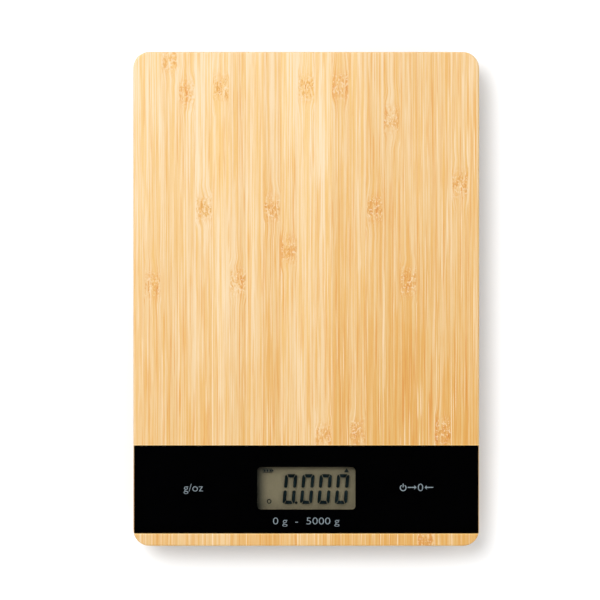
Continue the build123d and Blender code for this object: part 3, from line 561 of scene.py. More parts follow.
def circuit_material():
    """Green solder mask over copper tracks."""
    material, sheet, end = new_material("solder_mask")
    place = sheet.millimetres()
    layout = {"Vector": sheet.stretched(place, 0.22, 0.4, 0.0), "Scale": 1.0}
    cells = sheet.add("ShaderNodeTexVoronoi", layout, distance="CHEBYCHEV", feature="F1")
    rings = sheet.math("PINGPONG", sheet.math("MULTIPLY", cells.outputs["Distance"], 3.6), 0.5)
    track = sheet.fade(rings, 0.27, 0.33)
    grain = sheet.noise(place, 2.2, 3.0)
    mask = sheet.mix(sheet.fade(grain, 0.3, 0.7), (0.012, 0.13, 0.045), (0.018, 0.17, 0.06))
    shade = sheet.mix(sheet.math("MULTIPLY", track, 0.75), mask, (0.04, 0.26, 0.075))
    bump = sheet.add("ShaderNodeBump", {"Height": track, "Distance": 0.03 * MM, "Strength": 1.0})
    skin = sheet.add("ShaderNodeBsdfPrincipled", {
        "Base Color": shade, "Roughness": sheet.fade(grain, 0.3, 0.7, 0.28, 0.4), "Normal": bump.outputs[0],
        "Coat Weight": 0.5, "Coat Roughness": 0.15,
    })
    send(sheet, end, {"Surface": skin.outputs[0]})
    return material


def reflector_material(settings):
    """Satin metal film with a painted shadow along the left and rear edges of the window, where the mask's
    edge shades it.
    """
    material, sheet, end = new_material("reflector_film")
    surface = sheet.add("ShaderNodeGroup", node_tree=shared_group("surface_grain", build_surface_grain))
    silver = settings.reflector
    values = {"Colour": rgba(silver), "Second Colour": rgba([c * 0.93 for c in silver]), "Grain Size": 0.12,
              "Patch Size": 9.0, "Roughness": 0.55, "Roughness Spread": 0.1}
    for socket, value in values.items():
        surface.inputs[socket].default_value = value
    centre = middle("display_rear_pane") / MM
    left = centre.x - settings.window_width / MM / 2
    back = centre.y + settings.window_height / MM / 2
    split = sheet.split(sheet.millimetres())
    # painted shadow: the film is darkened along the window's left and rear edges, as the mask's edge would
    # shade it
    left_shadow = sheet.fade(split[0], left - 1.0, left + 6.0, 0.08, 1.0)
    back_shadow = sheet.fade(split[1], back, back - 1.8, 0.6, 1.0)
    dim = sheet.math("MULTIPLY", left_shadow, back_shadow)
    dim = sheet.add("ShaderNodeCombineColor", {0: dim, 1: dim, 2: dim}).outputs[0]
    bump = {"Height": surface.outputs["Height"], "Distance": 0.004 * MM, "Strength": 1.0}
    skin = sheet.add("ShaderNodeBsdfPrincipled", {
        "Base Color": sheet.mix(1.0, surface.outputs["Colour"], dim, "MULTIPLY"),
        "Roughness": surface.outputs["Roughness"], "Normal": sheet.add("ShaderNodeBump", bump).outputs[0],
    })
    send(sheet, end, {"Surface": skin.outputs[0]})
    return material


def layered_rubber_material():
    """Fine conducting and insulating layers, side by side along the strip."""
    material, sheet, end = new_material("layered_rubber")
    place = sheet.millimetres()
    x = sheet.split(place)[0]
    layer = sheet.fade(sheet.math("PINGPONG", sheet.math("MULTIPLY", x, 5.0), 0.5), 0.2, 0.3)
    grain = sheet.noise(place, 6.0, 3.0)
    shade = sheet.mix(layer, (0.03, 0.03, 0.033), (0.34, 0.33, 0.31))
    skin = sheet.add("ShaderNodeBsdfPrincipled", {
        "Base Color": shade, "Roughness": sheet.fade(grain, 0.3, 0.7, 0.6, 0.75),
    })
    send(sheet, end, {"Surface": skin.outputs[0]})
    return material


def floor_material(settings):
    """Plain matt floor that can be seen through, and lit through, from below."""
    material, sheet, end = new_material("floor")
    matt = sheet.add("ShaderNodeBsdfDiffuse", {"Color": rgba(settings.floor)})
    clear = sheet.add("ShaderNodeBsdfTransparent")
    below = sheet.add("ShaderNodeNewGeometry").outputs["Backfacing"]
    shadow = sheet.add("ShaderNodeLightPath").outputs["Is Shadow Ray"]
    skin = sheet.add("ShaderNodeMixShader", {
        0: sheet.math("MAXIMUM", below, shadow), 1: matt.outputs[0], 2: clear.outputs[0],
    })
    send(sheet, end, {"Surface": skin.outputs[0]})
    return material


# ---------------------------------------------------------------- pieces


def dress(material, *names):
    """Gives CAD nodes a material."""
    for name in names:
        slots = nodes[name].data.materials
        slots.clear()
        slots.append(material)


def new_piece(name, mesh, material=None):
    piece = bpy.data.objects.new(name, mesh)
    bpy.context.scene.collection.objects.link(piece)
    if material:
        mesh.materials.clear()
        mesh.materials.append(material)
    return piece


def smooth(mesh, degrees=30.0):
    mesh.shade_smooth()
    mesh.set_sharp_from_angle(angle=math.radians(degrees))


def point_mesh(name, places):
    mesh = bpy.data.meshes.new(name)
    mesh.from_pydata([tuple(place) for place in places], [], [])
    return mesh


def grown(name, mesh, group, values, material):
    """Runs a node group on a mesh and returns the plain mesh piece that it makes."""
    seed = new_piece(f"{name}_seed", mesh)
    modifier = seed.modifiers.new("grow", "NODES")
    modifier.node_group = group
    sockets = {item.name: item.identifier for item in group.interface.items_tree if item.in_out == "INPUT"}
    for socket, value in {**values, "Material": material}.items():
        modifier[sockets[socket]] = value
    graph = bpy.context.evaluated_depsgraph_get()
    made = bpy.data.meshes.new_from_object(seed.evaluated_get(graph))
    made.name = name
    bpy.data.objects.remove(seed)
    if not made.polygons:
        raise RuntimeError(f"{name} came out empty")
    if not made.materials or made.materials[0] is not material:
        made.materials.clear()
        made.materials.append(material)
    return new_piece(name, made)


def merged_copy(node_name, name, material):
    """A copy of a CAD node's mesh with its doubled vertices merged."""
    mesh = nodes[node_name].data.copy()
    work = bmesh.new()
    work.from_mesh(mesh)
    bmesh.ops.remove_doubles(work, verts=work.verts, dist=0.0005 * MM)
    bmesh.ops.recalc_face_normals(work, faces=work.faces)
    work.to_mesh(mesh)
    work.free()
    smooth(mesh)
    return new_piece(name, mesh, material)


def cylinder_places(node_name):
    """Middles, in x and y, of the separate upright solids of a CAD node."""
    mesh = nodes[node_name].data
    work = bmesh.new()
    work.from_mesh(mesh)
    bmesh.ops.remove_doubles(work, verts=work.verts, dist=0.0005 * MM)
    seen, places = set(), []
    for start in work.verts:
        if start.index in seen:
            continue
        island, queue = [], [start]
        seen.add(start.index)
        while queue:
            vertex = queue.pop()
            island.append(vertex.co.copy())
            for edge in vertex.link_edges:
                other = edge.other_vert(vertex)
                if other.index not in seen:
                    seen.add(other.index)
                    queue.append(other)
        xs, ys = [p.x for p in island], [p.y for p in island]
        places.append(((min(xs) + max(xs)) / 2, (min(ys) + max(ys)) / 2))
    work.free()
    return sorted(places)


def build_screws(name):
    """Screws with a cross recess and a thread, head down, at every point of a mesh."""
    number = "NodeSocketFloat"
    inputs = {
        "Geometry": ("NodeSocketGeometry", None),
        "Head Radius": (number, 0.002), "Neck Radius": (number, 0.002),
        "Head Height": (number, 0.001), "Crown": (number, 0.0), "Shank Radius": (number, 0.001),
        "Shank Length": (number, 0.004), "Thread Pitch": (number, 0.0008), "Thread Depth": (number, 0.0002),
        "Recess Length": (number, 0.002), "Recess Width": (number, 0.0005), "Recess Depth": (number, 0.0006),
        "Turn Over": (number, 0.0), "Material": ("NodeSocketMaterial", None),
    }
    group, sheet, given, end = new_group(name, "GeometryNodeTree", inputs, {"Geometry": "NodeSocketGeometry"})
    place = sheet.add("GeometryNodeInputPosition").outputs[0]
    x, y, z = sheet.split(place)

    shank = sheet.add("GeometryNodeMeshCylinder", {
        "Vertices": 20, "Side Segments": 44, "Radius": given["Shank Radius"], "Depth": given["Shank Length"],
    }, fill_type="NGON").outputs["Mesh"]
    around = sheet.math("DIVIDE", sheet.math("ARCTAN2", y, x), 2 * math.pi)
    turn = sheet.math("FRACT", sheet.math("ADD", sheet.math("DIVIDE", z, given["Thread Pitch"]), around))
    groove = sheet.math("PINGPONG", sheet.math("MULTIPLY", turn, 2.0), 1.0)
    shrink = sheet.math("MULTIPLY", groove, given["Thread Depth"])
    keep = sheet.math("SUBTRACT", 1.0, sheet.math("DIVIDE", shrink, given["Shank Radius"]))
    cut = sheet.vector(keep, keep, 1.0)
    shank = sheet.add("GeometryNodeSetPosition", {
        "Geometry": shank, "Position": sheet.vector_math("MULTIPLY", place, cut),
    }).outputs[0]
    lift = sheet.vector(z=sheet.math("MULTIPLY", given["Shank Length"], 0.5))
    shank = sheet.add("GeometryNodeTransform", {"Geometry": shank, "Translation": lift}).outputs[0]

    head = sheet.add("GeometryNodeMeshCone", {
        "Vertices": 40, "Side Segments": 2, "Fill Segments": 6, "Radius Top": given["Neck Radius"],
        "Radius Bottom": given["Head Radius"], "Depth": given["Head Height"],
    }, fill_type="NGON").outputs["Mesh"]
    down = sheet.vector(z=sheet.math("MULTIPLY", given["Head Height"], -1.0))
    head = sheet.add("GeometryNodeTransform", {"Geometry": head, "Translation": down}).outputs[0]
    far = sheet.math("SQRT", sheet.math("ADD", sheet.math("MULTIPLY", x, x), sheet.math("MULTIPLY", y, y)))
    far = sheet.math("POWER", sheet.math("DIVIDE", far, given["Head Radius"]), 3.0)
    bulge = sheet.math("MULTIPLY", sheet.math("MULTIPLY", far, given["Crown"]),
                       sheet.math("MULTIPLY", z, -1.0))
    crown = sheet.vector(z=bulge)
    head = sheet.add("GeometryNodeSetPosition", {"Geometry": head, "Offset": crown}).outputs[0]
    bars = []
    for axis in (0, 1):
        size = {axis: given["Recess Length"], 1 - axis: given["Recess Width"],
                2: sheet.math("MULTIPLY", given["Recess Depth"], 2.0)}
        size = sheet.add("ShaderNodeCombineXYZ", size).outputs[0]
        bar = sheet.add("GeometryNodeMeshCube", {"Size": size}).outputs["Mesh"]
        bars.append(sheet.add("GeometryNodeTransform", {"Geometry": bar, "Translation": down}).outputs[0])
    carve = sheet.add("GeometryNodeMeshBoolean", {"Mesh 1": head}, operation="DIFFERENCE", solver="EXACT")
    for bar in bars:
        sheet.tree.links.new(bar, carve.inputs["Mesh 2"])
    parts = sheet.add("GeometryNodeJoinGeometry")
    sheet.tree.links.new(carve.outputs["Mesh"], parts.inputs[0])
    sheet.tree.links.new(shank, parts.inputs[0])
    turned = sheet.vector(x=sheet.math("MULTIPLY", given["Turn Over"], math.pi))
    one = sheet.add("GeometryNodeTransform", {"Geometry": parts.outputs[0], "Rotation": turned}).outputs[0]
    spin = sheet.add("FunctionNodeRandomValue", {2: 0.0, 3: 1.4, "Seed": 5}, data_type="FLOAT").outputs[1]
    whole = sheet.copied(one, given["Geometry"], Rotation=sheet.vector(z=spin))
    send(sheet, end, {"Geometry": sheet.painted(whole, given["Material"])})
    return group


def build_springs(name):
    """Coil springs standing on every point of a mesh."""
    number = "NodeSocketFloat"
    inputs = {
        "Geometry": ("NodeSocketGeometry", None), "Radius": (number, 0.0026), "Wire": (number, 0.00025),
        "Turns": (number, 5.0), "Height": (number, 0.005), "Material": ("NodeSocketMaterial", None),
    }
    group, sheet, given, end = new_group(name, "GeometryNodeTree", inputs, {"Geometry": "NodeSocketGeometry"})
    coil = sheet.add("GeometryNodeCurveSpiral", {
        "Resolution": 36, "Rotations": given["Turns"], "Start Radius": given["Radius"],
        "End Radius": given["Radius"], "Height": given["Height"],
    }).outputs[0]
    ring = sheet.add("GeometryNodeCurvePrimitiveCircle", {"Resolution": 12, "Radius": given["Wire"]})
    sweep = {"Curve": coil, "Profile Curve": ring.outputs[0], "Fill Caps": True}
    wire = sheet.add("GeometryNodeCurveToMesh", sweep)
    whole = sheet.copied(wire.outputs[0], given["Geometry"])
    send(sheet, end, {"Geometry": sheet.painted(whole, given["Material"])})
    return group


def build_solder(name):
    """Small hanging domes of solder at every point of a mesh."""
    number = "NodeSocketFloat"
    inputs = {
        "Geometry": ("NodeSocketGeometry", None), "Radius": (number, 0.0009), "Height": (number, 0.0006),
        "Material": ("NodeSocketMaterial", None),
    }
    group, sheet, given, end = new_group(name, "GeometryNodeTree", inputs, {"Geometry": "NodeSocketGeometry"})
    ball = sheet.add("GeometryNodeMeshUVSphere", {"Segments": 14, "Rings": 10, "Radius": 1.0}).outputs["Mesh"]
    x, y, z = sheet.split(sheet.add("GeometryNodeInputPosition").outputs[0])
    flat = sheet.vector(x, y, sheet.math("MINIMUM", z, 0.0))
    dome = sheet.add("GeometryNodeSetPosition", {"Geometry": ball, "Position": flat}).outputs[0]
    dome = sheet.add("GeometryNodeMergeByDistance", {"Geometry": dome, "Distance": 0.001}).outputs[0]
    size = sheet.vector(given["Radius"], given["Radius"], given["Height"])
    dome = sheet.add("GeometryNodeTransform", {"Geometry": dome, "Scale": size}).outputs[0]
    whole = sheet.copied(dome, given["Geometry"])
    send(sheet, end, {"Geometry": sheet.painted(whole, given["Material"])})
    return group


def build_digits(name):
    """A row of leaning digits, each a copy of one flat digit, with a little thickness."""
    number = "NodeSocketFloat"
    inputs = {
        "Geometry": ("NodeSocketGeometry", None), "Count": ("NodeSocketInt", 4), "Pitch": (number, 0.008),
        "Slant": (number, 0.087), "Thickness": (number, 0.00003), "Material": ("NodeSocketMaterial", None),
    }
    group, sheet, given, end = new_group(name, "GeometryNodeTree", inputs, {"Geometry": "NodeSocketGeometry"})
    step = sheet.vector(x=given["Pitch"])
    row = sheet.add("GeometryNodeMeshLine", {"Count": given["Count"], "Offset": step}).outputs[0]
    flat = sheet.copied(given["Geometry"], row)
    y = sheet.split(sheet.add("GeometryNodeInputPosition").outputs[0])[1]
    lean = sheet.vector(x=sheet.math("MULTIPLY", y, sheet.math("TANGENT", given["Slant"])))
    flat = sheet.add("GeometryNodeSetPosition", {"Geometry": flat, "Offset": lean}).outputs[0]
    up = sheet.vector(z=1.0)
    raised = sheet.add("GeometryNodeExtrudeMesh", {
        "Mesh": flat, "Offset": up, "Offset Scale": given["Thickness"], "Individual": False,
    }).outputs["Mesh"]
    under = sheet.add("GeometryNodeFlipFaces", {"Mesh": flat}).outputs[0]
    both = sheet.add("GeometryNodeJoinGeometry")
    sheet.tree.links.new(raised, both.inputs[0])
    sheet.tree.links.new(under, both.inputs[0])
    doubled = {"Geometry": both.outputs[0], "Distance": 0.002 * MM}
    closed = sheet.add("GeometryNodeMergeByDistance", doubled).outputs[0]
    send(sheet, end, {"Geometry": sheet.painted(closed, given["Material"])})
    return group


def outline_mesh(name, outlines, z):
    """A flat mesh of separate outlines, counterclockwise, at one height."""
    points, faces = [], []
    for outline in outlines:
        faces.append(list(range(len(points), len(points) + len(outline))))
        points += [(x, y, z) for x, y in outline]
    mesh = bpy.data.meshes.new(name)
    mesh.from_pydata(points, [], faces)
    return mesh


def ring_outlines(x, y, outer, inner, start=0.0, end=360.0, steps=32):
    """Quads of a flat ring, or of part of one."""
    made = []
    for step in range(steps):
        a, b = (math.radians(start + (end - start) * k / steps) for k in (step, step + 1))
        corners = ((outer, a), (outer, b), (inner, b), (inner, a))
        made.append([(x + radius * math.cos(t), y + radius * math.sin(t)) for radius, t in corners])
    return made


def thicken(mesh, amount):
    """Turns flat faces into closed plates that thick."""
    work = bmesh.new()
    work.from_mesh(mesh)
    bmesh.ops.remove_doubles(work, verts=work.verts, dist=0.0005 * MM)
    flat = list(work.faces)
    top = bmesh.ops.extrude_face_region(work, geom=flat, use_keep_orig=True)["geom"]
    raised = [item for item in top if isinstance(item, bmesh.types.BMVert)]
    bmesh.ops.translate(work, verts=raised, vec=(0, 0, amount))
    bmesh.ops.recalc_face_normals(work, faces=work.faces)
    work.to_mesh(mesh)
    work.free()
    return mesh


def words_mesh(words, x, y, z, width, height, thickness, weight=-0.009):
    """Signs as a closed mesh, with their height over the baseline and whole width given, around (x, y)."""
    curve = bpy.data.curves.new("words", "FONT")
    curve.body = words
    curve.offset = weight
    curve.resolution_u = 4
    sample = bpy.data.objects.new("words", curve)
    bpy.context.scene.collection.objects.link(sample)
    bpy.context.view_layer.update()
    mesh = bpy.data.meshes.new_from_object(sample.evaluated_get(bpy.context.evaluated_depsgraph_get()))
    bpy.data.objects.remove(sample)
    xs = [vertex.co.x for vertex in mesh.vertices]
    ys = [vertex.co.y for vertex in mesh.vertices]
    tallest = max(ys)
    across = width / (max(xs) - min(xs))
    for vertex in mesh.vertices:
        vertex.co.x = x + (vertex.co.x - (min(xs) + max(xs)) / 2) * across
        vertex.co.y = y + (vertex.co.y / tallest - 0.5) * height
        vertex.co.z = z
    return thicken(mesh, thickness)


def rectangle(left, right, front, back):
    return [(left, front), (right, front), (right, back), (left, back)]


def arrow_outline(tail, tip, y, bar, head):
    """An arrow lying along x from tail to tip, its head as long as half its width."""
    neck = tip - math.copysign(head / 2, tip - tail)
    return [(tail, y - bar / 2), (neck, y - bar / 2), (neck, y - head / 2), (tip, y), (neck, y + head / 2),
            (neck, y + bar / 2), (tail, y + bar / 2)]


def joined(name, meshes, material):
    """One piece from several meshes."""
    work = bmesh.new()
    for mesh in meshes:
        work.from_mesh(mesh)
    whole = bpy.data.meshes.new(name)
    work.to_mesh(whole)
    work.free()
    for mesh in meshes:
        bpy.data.meshes.remove(mesh)
    return new_piece(name, whole, material)


def placed(piece, body, slot, *replaced):
    """Puts a finished piece on its body."""
    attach(piece, body)
    if replaced:
        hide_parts(*replaced)
    return piece


def middle(node_name):
    low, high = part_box(node_name)
    return (low + high) / 2


# ---------------------------------------------------------------- operators


class SCALE_OT_finish_board(bpy.types.Operator):
    """Gives the board its glued bamboo strips, fibres and knots"""

    bl_idname = "kitchen_scale.finish_board"
    bl_label = "Finish the Board"

    def execute(self, context):
        dress(bamboo_material(context.scene.scale_board), "bamboo_board")
        return {"FINISHED"}


class SCALE_OT_finish_strip(bpy.types.Operator):
    """Gives the display strip its clear glass, printed ink and tape"""

    bl_idname = "kitchen_scale.finish_strip"
    bl_label = "Finish the Display Strip"

    def execute(self, context):
        ink = context.scene.scale_strip.ink
        dress(clear_material("cover_glass", (0.97, 0.985, 0.98), 0.015, 0.03, 0.65), "display_glass")
        dress(
            grained_material("printed_ink", ink, [c * 1.6 for c in ink], 0.55, 0.1, 0.3, 20.0, relief=0.001,
                             Specular_IOR_Level=0.0),
            "display_mask",
        )
        tape = grained_material("foam_tape", (0.72, 0.7, 0.64), (0.6, 0.58, 0.52), 0.8, 0.1, 0.25, 3.0,
                                relief=0.03)
        dress(tape, "strip_tape", "tray_tape")
        return {"FINISHED"}


class SCALE_OT_add_lettering(bpy.types.Operator):
    """Prints the key signs and the range of the scale on the strip"""

    bl_idname = "kitchen_scale.add_lettering"
    bl_label = "Add the Lettering"

    def execute(self, context):
        settings = context.scene.scale_strip
        glass_low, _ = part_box("display_glass")
        mask_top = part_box("display_mask")[1].z
        z = mask_top + 0.002 * MM
        thickness = 0.7 * (glass_low.z - z)
        left, right = middle("unit_key_foil"), middle("tare_key_foil")
        shift, gap = 0.6 * MM, 0.6 * MM
        unit = words_mesh("g/oz", left.x - shift, left.y + 0.3 * MM, z, settings.unit_width,
                          settings.unit_height, thickness)
        key_x = right.x - shift
        whole = settings.power_size + gap + settings.zero_width
        zero_x = key_x + (whole - settings.zero_width) / 2
        zero_y = right.y + 0.4 * MM
        zero = words_mesh("0", zero_x, zero_y, z, 2.5 * MM, settings.zero_height, thickness)
        reach, clear = settings.zero_width / 2, 1.9 * MM
        shaft, head = 0.42 * MM, 1.9 * MM
        arrows = [arrow_outline(zero_x + way * reach, zero_x + way * clear, zero_y, shaft, head)
                  for way in (-1, 1)]
        arrows = thicken(outline_mesh("arrows", arrows, z), thickness)
        sign_x, sign_y = key_x - (whole - settings.power_size) / 2, right.y + 0.2 * MM
        radius = settings.power_size / 2
        sign = ring_outlines(sign_x, sign_y, radius, radius * 0.74, 122.0, 418.0)
        bar = radius * 0.13
        sign.append(rectangle(sign_x - bar, sign_x + bar, right.y + 0.4 * MM, right.y + 2.15 * MM))
        power = thicken(outline_mesh("power", sign, z), thickness)
        range_y = -103.45 * MM
        span = words_mesh("0 g  -  5000 g", 0.0, range_y, z, settings.range_width, settings.range_height,
                          thickness)
        shade = settings.lettering
        paint = grained_material("lettering_ink", shade, [c * 0.9 for c in shade], 0.6, 0.1, 0.2, 6.0)
        placed(joined("strip_lettering", [unit, zero, arrows, power, span], paint), "platform", "strip_mask")
        return {"FINISHED"}


class SCALE_OT_finish_display(bpy.types.Operator):
    """Gives the layers of the display their glass, film and plastic"""

    bl_idname = "kitchen_scale.finish_display"
    bl_label = "Finish the Display"

    def execute(self, context):
        settings = context.scene.scale_display
        panes = clear_material("display_panes", (0.985, 0.99, 0.985), shine=0.1)
        dress(panes, "display_front_pane", "display_rear_pane")
        dress(clear_material("polarizing_film", (0.90, 0.91, 0.89), 0.12, shine=0.5), "display_polarizer")
        dress(reflector_material(settings), "display_reflector")
        dress(grained_material("edge_seal", (0.2, 0.19, 0.17), (0.15, 0.14, 0.12), 0.7), "display_seal")
        dress(layered_rubber_material(), "contact_strips")
        black = grained_material("holder_plastic", (0.05, 0.05, 0.052), (0.04, 0.04, 0.042), 0.5, 0.15, 0.3,
                                 relief=0.01)
        dress(black, "display_holder")
        return {"FINISHED"}


class SCALE_OT_add_segments(bpy.types.Operator):
    """Adds the digits and the small marks that the display shows"""

    bl_idname = "kitchen_scale.add_segments"
    bl_label = "Add the Segments"

    def execute(self, context):
        settings = context.scene.scale_display
        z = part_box("display_seal")[0].z + 0.04 * MM
        thickness = 0.03 * MM
        w, h, s = settings.digit_width, settings.digit_height, settings.segment_width
        cut, gap = 0.85 * MM, 0.17 * MM
        rise, tip = 0.50 * MM, 0.50 * MM
        origin_x, origin_y = -11.15 * MM, -95.6 * MM
        lower = [
            [(cut + gap, 0.0), (w - cut - gap, 0.0), (w - s - 0.3 * gap, s - gap), (w - s - gap, s),
             (s + gap, s), (s + 0.3 * gap, s - gap)],
            [(0.0, cut), (cut - gap, gap), (s - gap, s), (s, s + gap), (s, h / 2 - rise - tip),
             (0.55 * s, h / 2 - rise), (0.0, h / 2 - rise - tip)],
            [(w, cut), (w, h / 2 - rise - tip), (w - 0.55 * s, h / 2 - rise), (w - s, h / 2 - rise - tip),
             (w - s, s + gap), (w - s + gap, s), (w - cut + gap, gap)],
        ]
        upper = [[(x, h - y) for x, y in reversed(outline)] for outline in lower]
        digit = outline_mesh("digit", lower + upper, 0.0)
        paint = grained_material("segment", settings.segment, [c * 1.3 for c in settings.segment], 0.5,
                                 Specular_IOR_Level=0.0)
        values = {"Count": settings.digit_count, "Pitch": settings.digit_pitch, "Slant": settings.slant,
                  "Thickness": thickness}
        digits = grown("display_digits", digit, shared_group("digit_row", build_digits), values, paint)
        for vertex in digits.data.vertices:
            vertex.co += Vector((origin_x, origin_y, z))
        placed(digits, "platform", "display_film")

        point_x, point_y, point_radius = -4.65 * MM, -95.0 * MM, 0.62 * MM
        steps = [math.radians(20 * k) for k in range(18)]
        point = [[(point_x + point_radius * math.cos(t), point_y + point_radius * math.sin(t))
                  for t in steps]]
        ring_x, ring_y, ring_radius, ring_hole = -17.3 * MM, -94.4 * MM, 1.08 * MM, 0.66 * MM
        ring = ring_outlines(ring_x, ring_y, ring_radius, ring_hole)
        foot_left, foot_right, foot_y = 17.6 * MM, 20.0 * MM, -80.9 * MM
        pointer = [[(foot_left, foot_y), (foot_right, foot_y), (18.8 * MM, -79.0 * MM)]]
        marks = [
            thicken(outline_mesh("point", point, z), thickness),
            thicken(outline_mesh("ring", ring, z), thickness),
            thicken(outline_mesh("pointer", pointer, z), thickness),
        ]
        placed(joined("display_marks", marks, paint), "platform", "display_film")
        x0, x1, y0, y1 = -20.3 * MM, -15.9 * MM, -81.0 * MM, -79.15 * MM
        rim = 0.26 * MM
        inset = 1.6 * rim
        battery = [
            rectangle(x0, x1, y0, y0 + rim),
            rectangle(x0, x1, y1 - rim, y1),
            rectangle(x0, x0 + rim, y0 + rim, y1 - rim),
            rectangle(x1 - rim, x1, y0 + rim, y1 - rim),
            rectangle(x1, x1 + 2 * rim, y0 + 2 * rim, y1 - 2 * rim),
        ]
        for start in (x0 + rim, x0 + 6.0 * rim, x0 + 11.0 * rim):
            battery.append(rectangle(start + rim, start + 4.4 * rim, y0 + inset, y1 - inset))
        dim = [c + 0.012 for c in settings.segment]
        faint = grained_material("segment_off", dim, [c * 1.1 for c in dim], 0.5, Specular_IOR_Level=0.0)
        battery = thicken(outline_mesh("battery", battery, z), thickness)
        placed(joined("display_battery_mark", [battery], faint), "platform", "display_film")
        return {"FINISHED"}


class SCALE_OT_finish_circuit(bpy.types.Operator):
    """Gives the circuit board and its parts their materials, and adds the solder joints"""

    bl_idname = "kitchen_scale.finish_circuit"
    bl_label = "Finish the Circuit"

    def execute(self, context):
        settings = context.scene.scale_hardware
        dress(circuit_material(), "circuit_board")
        dress(grained_material("chip_resin", (0.02, 0.02, 0.022), (0.03, 0.03, 0.03), 0.35, 0.2, 0.5, 5.0,
                               relief=0.02), "controller_resin", "converter_chip")
        tin = grained_material("tin", (0.75, 0.74, 0.72), (0.62, 0.61, 0.6), 0.28, 0.2, 0.15, 2.0,
                               Metallic=1.0)
        dress(tin, "converter_legs")
        dress(grained_material("capacitor_can", (0.8, 0.8, 0.82), (0.7, 0.7, 0.72), 0.3, 0.15, 0.1, 4.0,
                               (1.0, 1.0, 0.1), Metallic=1.0), "smoothing_capacitor")
        dress(grained_material("chip_ceramic", (0.05, 0.05, 0.06), (0.07, 0.07, 0.08), 0.4, 0.2, 0.2, 2.0),
              "chip_resistors")
        dress(grained_material("key_foil", (0.82, 0.82, 0.83), (0.74, 0.74, 0.75), 0.3, 0.2, 0.15, 4.0,
                               (1.0, 0.15, 1.0), Metallic=1.0), "unit_key_foil", "tare_key_foil")
        board_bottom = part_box("circuit_board")[0].z
        pads = []
        for lead in LEADS:
            ends = [v.co for v in nodes[lead].data.vertices if v.co.z > board_bottom - 0.01 * MM]
            pads.append(sum(ends, Vector()) / len(ends))
        solder = grown("lead_solder", point_mesh("pads", [(p.x, p.y, board_bottom) for p in pads]),
                       shared_group("solder_joints", build_solder),
                       {"Radius": settings.solder_radius * 0.8, "Height": settings.solder_radius * 0.7}, tin)
        smooth(solder.data)
        placed(solder, "platform", "tinned_legs")
        return {"FINISHED"}


class SCALE_OT_add_springs(bpy.types.Operator):
    """Adds the coil spring under each touch key"""

    bl_idname = "kitchen_scale.add_springs"
    bl_label = "Add the Key Springs"

    def execute(self, context):
        settings = context.scene.scale_hardware
        steel = grained_material("spring_steel", (0.62, 0.62, 0.62), (0.5, 0.5, 0.5), 0.25, 0.15, 0.2, 2.0,
                                 Metallic=1.0)
        for name in ("unit_key_spring", "tare_key_spring"):
            low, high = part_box(name)
            centre = (low + high) / 2
            values = {
                "Radius": settings.spring_radius, "Wire": settings.spring_wire * 0.96,
                "Turns": settings.spring_turns, "Height": high.z - low.z - 2 * settings.spring_wire,
            }
            stand = point_mesh("stand", [(centre.x, centre.y, low.z + settings.spring_wire)])
            spring = grown(f"{name}_coil", stand, shared_group("key_springs", build_springs), values, steel)
            smooth(spring.data, 50.0)
            placed(spring, "platform", "spring_steel", name)
        return {"FINISHED"}


class SCALE_OT_add_screws(bpy.types.Operator):
    """Adds the screws of the tray, the circuit board and the load cell"""

    bl_idname = "kitchen_scale.add_screws"
    bl_label = "Add the Screws"

    def execute(self, context):
        settings = context.scene.scale_hardware
        zinc = grained_material("zinc_plate", (0.55, 0.55, 0.56), (0.44, 0.44, 0.46), 0.32, 0.2, 0.2, 2.5,
                                Metallic=1.0)
        # body, head radius, neck radius, head height, crown, shank radius, whether it is turned over, and the
        # length, width and depth of its recess; sizes in mm
        wanted = {
            "tray_screws": ("platform", 2.4, 2.4, 1.1, 0.35, 1.3, False, 2.6, 0.6, 0.7),
            "circuit_screws": ("platform", 1.9, 1.9, 1.0, 0.35, 1.0, False, 2.1, 0.5, 0.6),
            "cell_base_screws": ("base", 2.9, 1.5, 1.4, 0.0, 1.5, False, 3.2, 0.75, 0.95),
            "cell_platform_screws": ("platform", 2.9, 1.5, 1.4, 0.0, 1.5, True, 3.2, 0.75, 0.95),
        }
        for name, sizes in wanted.items():
            body, head, neck, height, crown, shank, over, slot_long, slot_wide, slot_deep = sizes
            low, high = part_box(name)
            start = high.z - height * MM if over else low.z + height * MM
            reach = start - low.z if over else high.z - start
            places = [(x, y, start) for x, y in cylinder_places(name)]
            values = {
                "Head Radius": head * MM, "Neck Radius": neck * MM, "Head Height": height * MM,
                "Crown": crown, "Shank Radius": shank * MM, "Shank Length": reach,
                "Thread Pitch": settings.thread_pitch,
                "Thread Depth": settings.thread_depth, "Recess Length": slot_long * MM,
                "Recess Width": slot_wide * MM, "Recess Depth": slot_deep * MM,
                "Turn Over": 1.0 if over else 0.0,
            }
            screws = grown(f"{name}_cut", point_mesh("places", places),
                           shared_group("cross_screws", build_screws), values, zinc)
            smooth(screws.data, 40.0)
            placed(screws, body, "screw_steel", name)
        return {"FINISHED"}


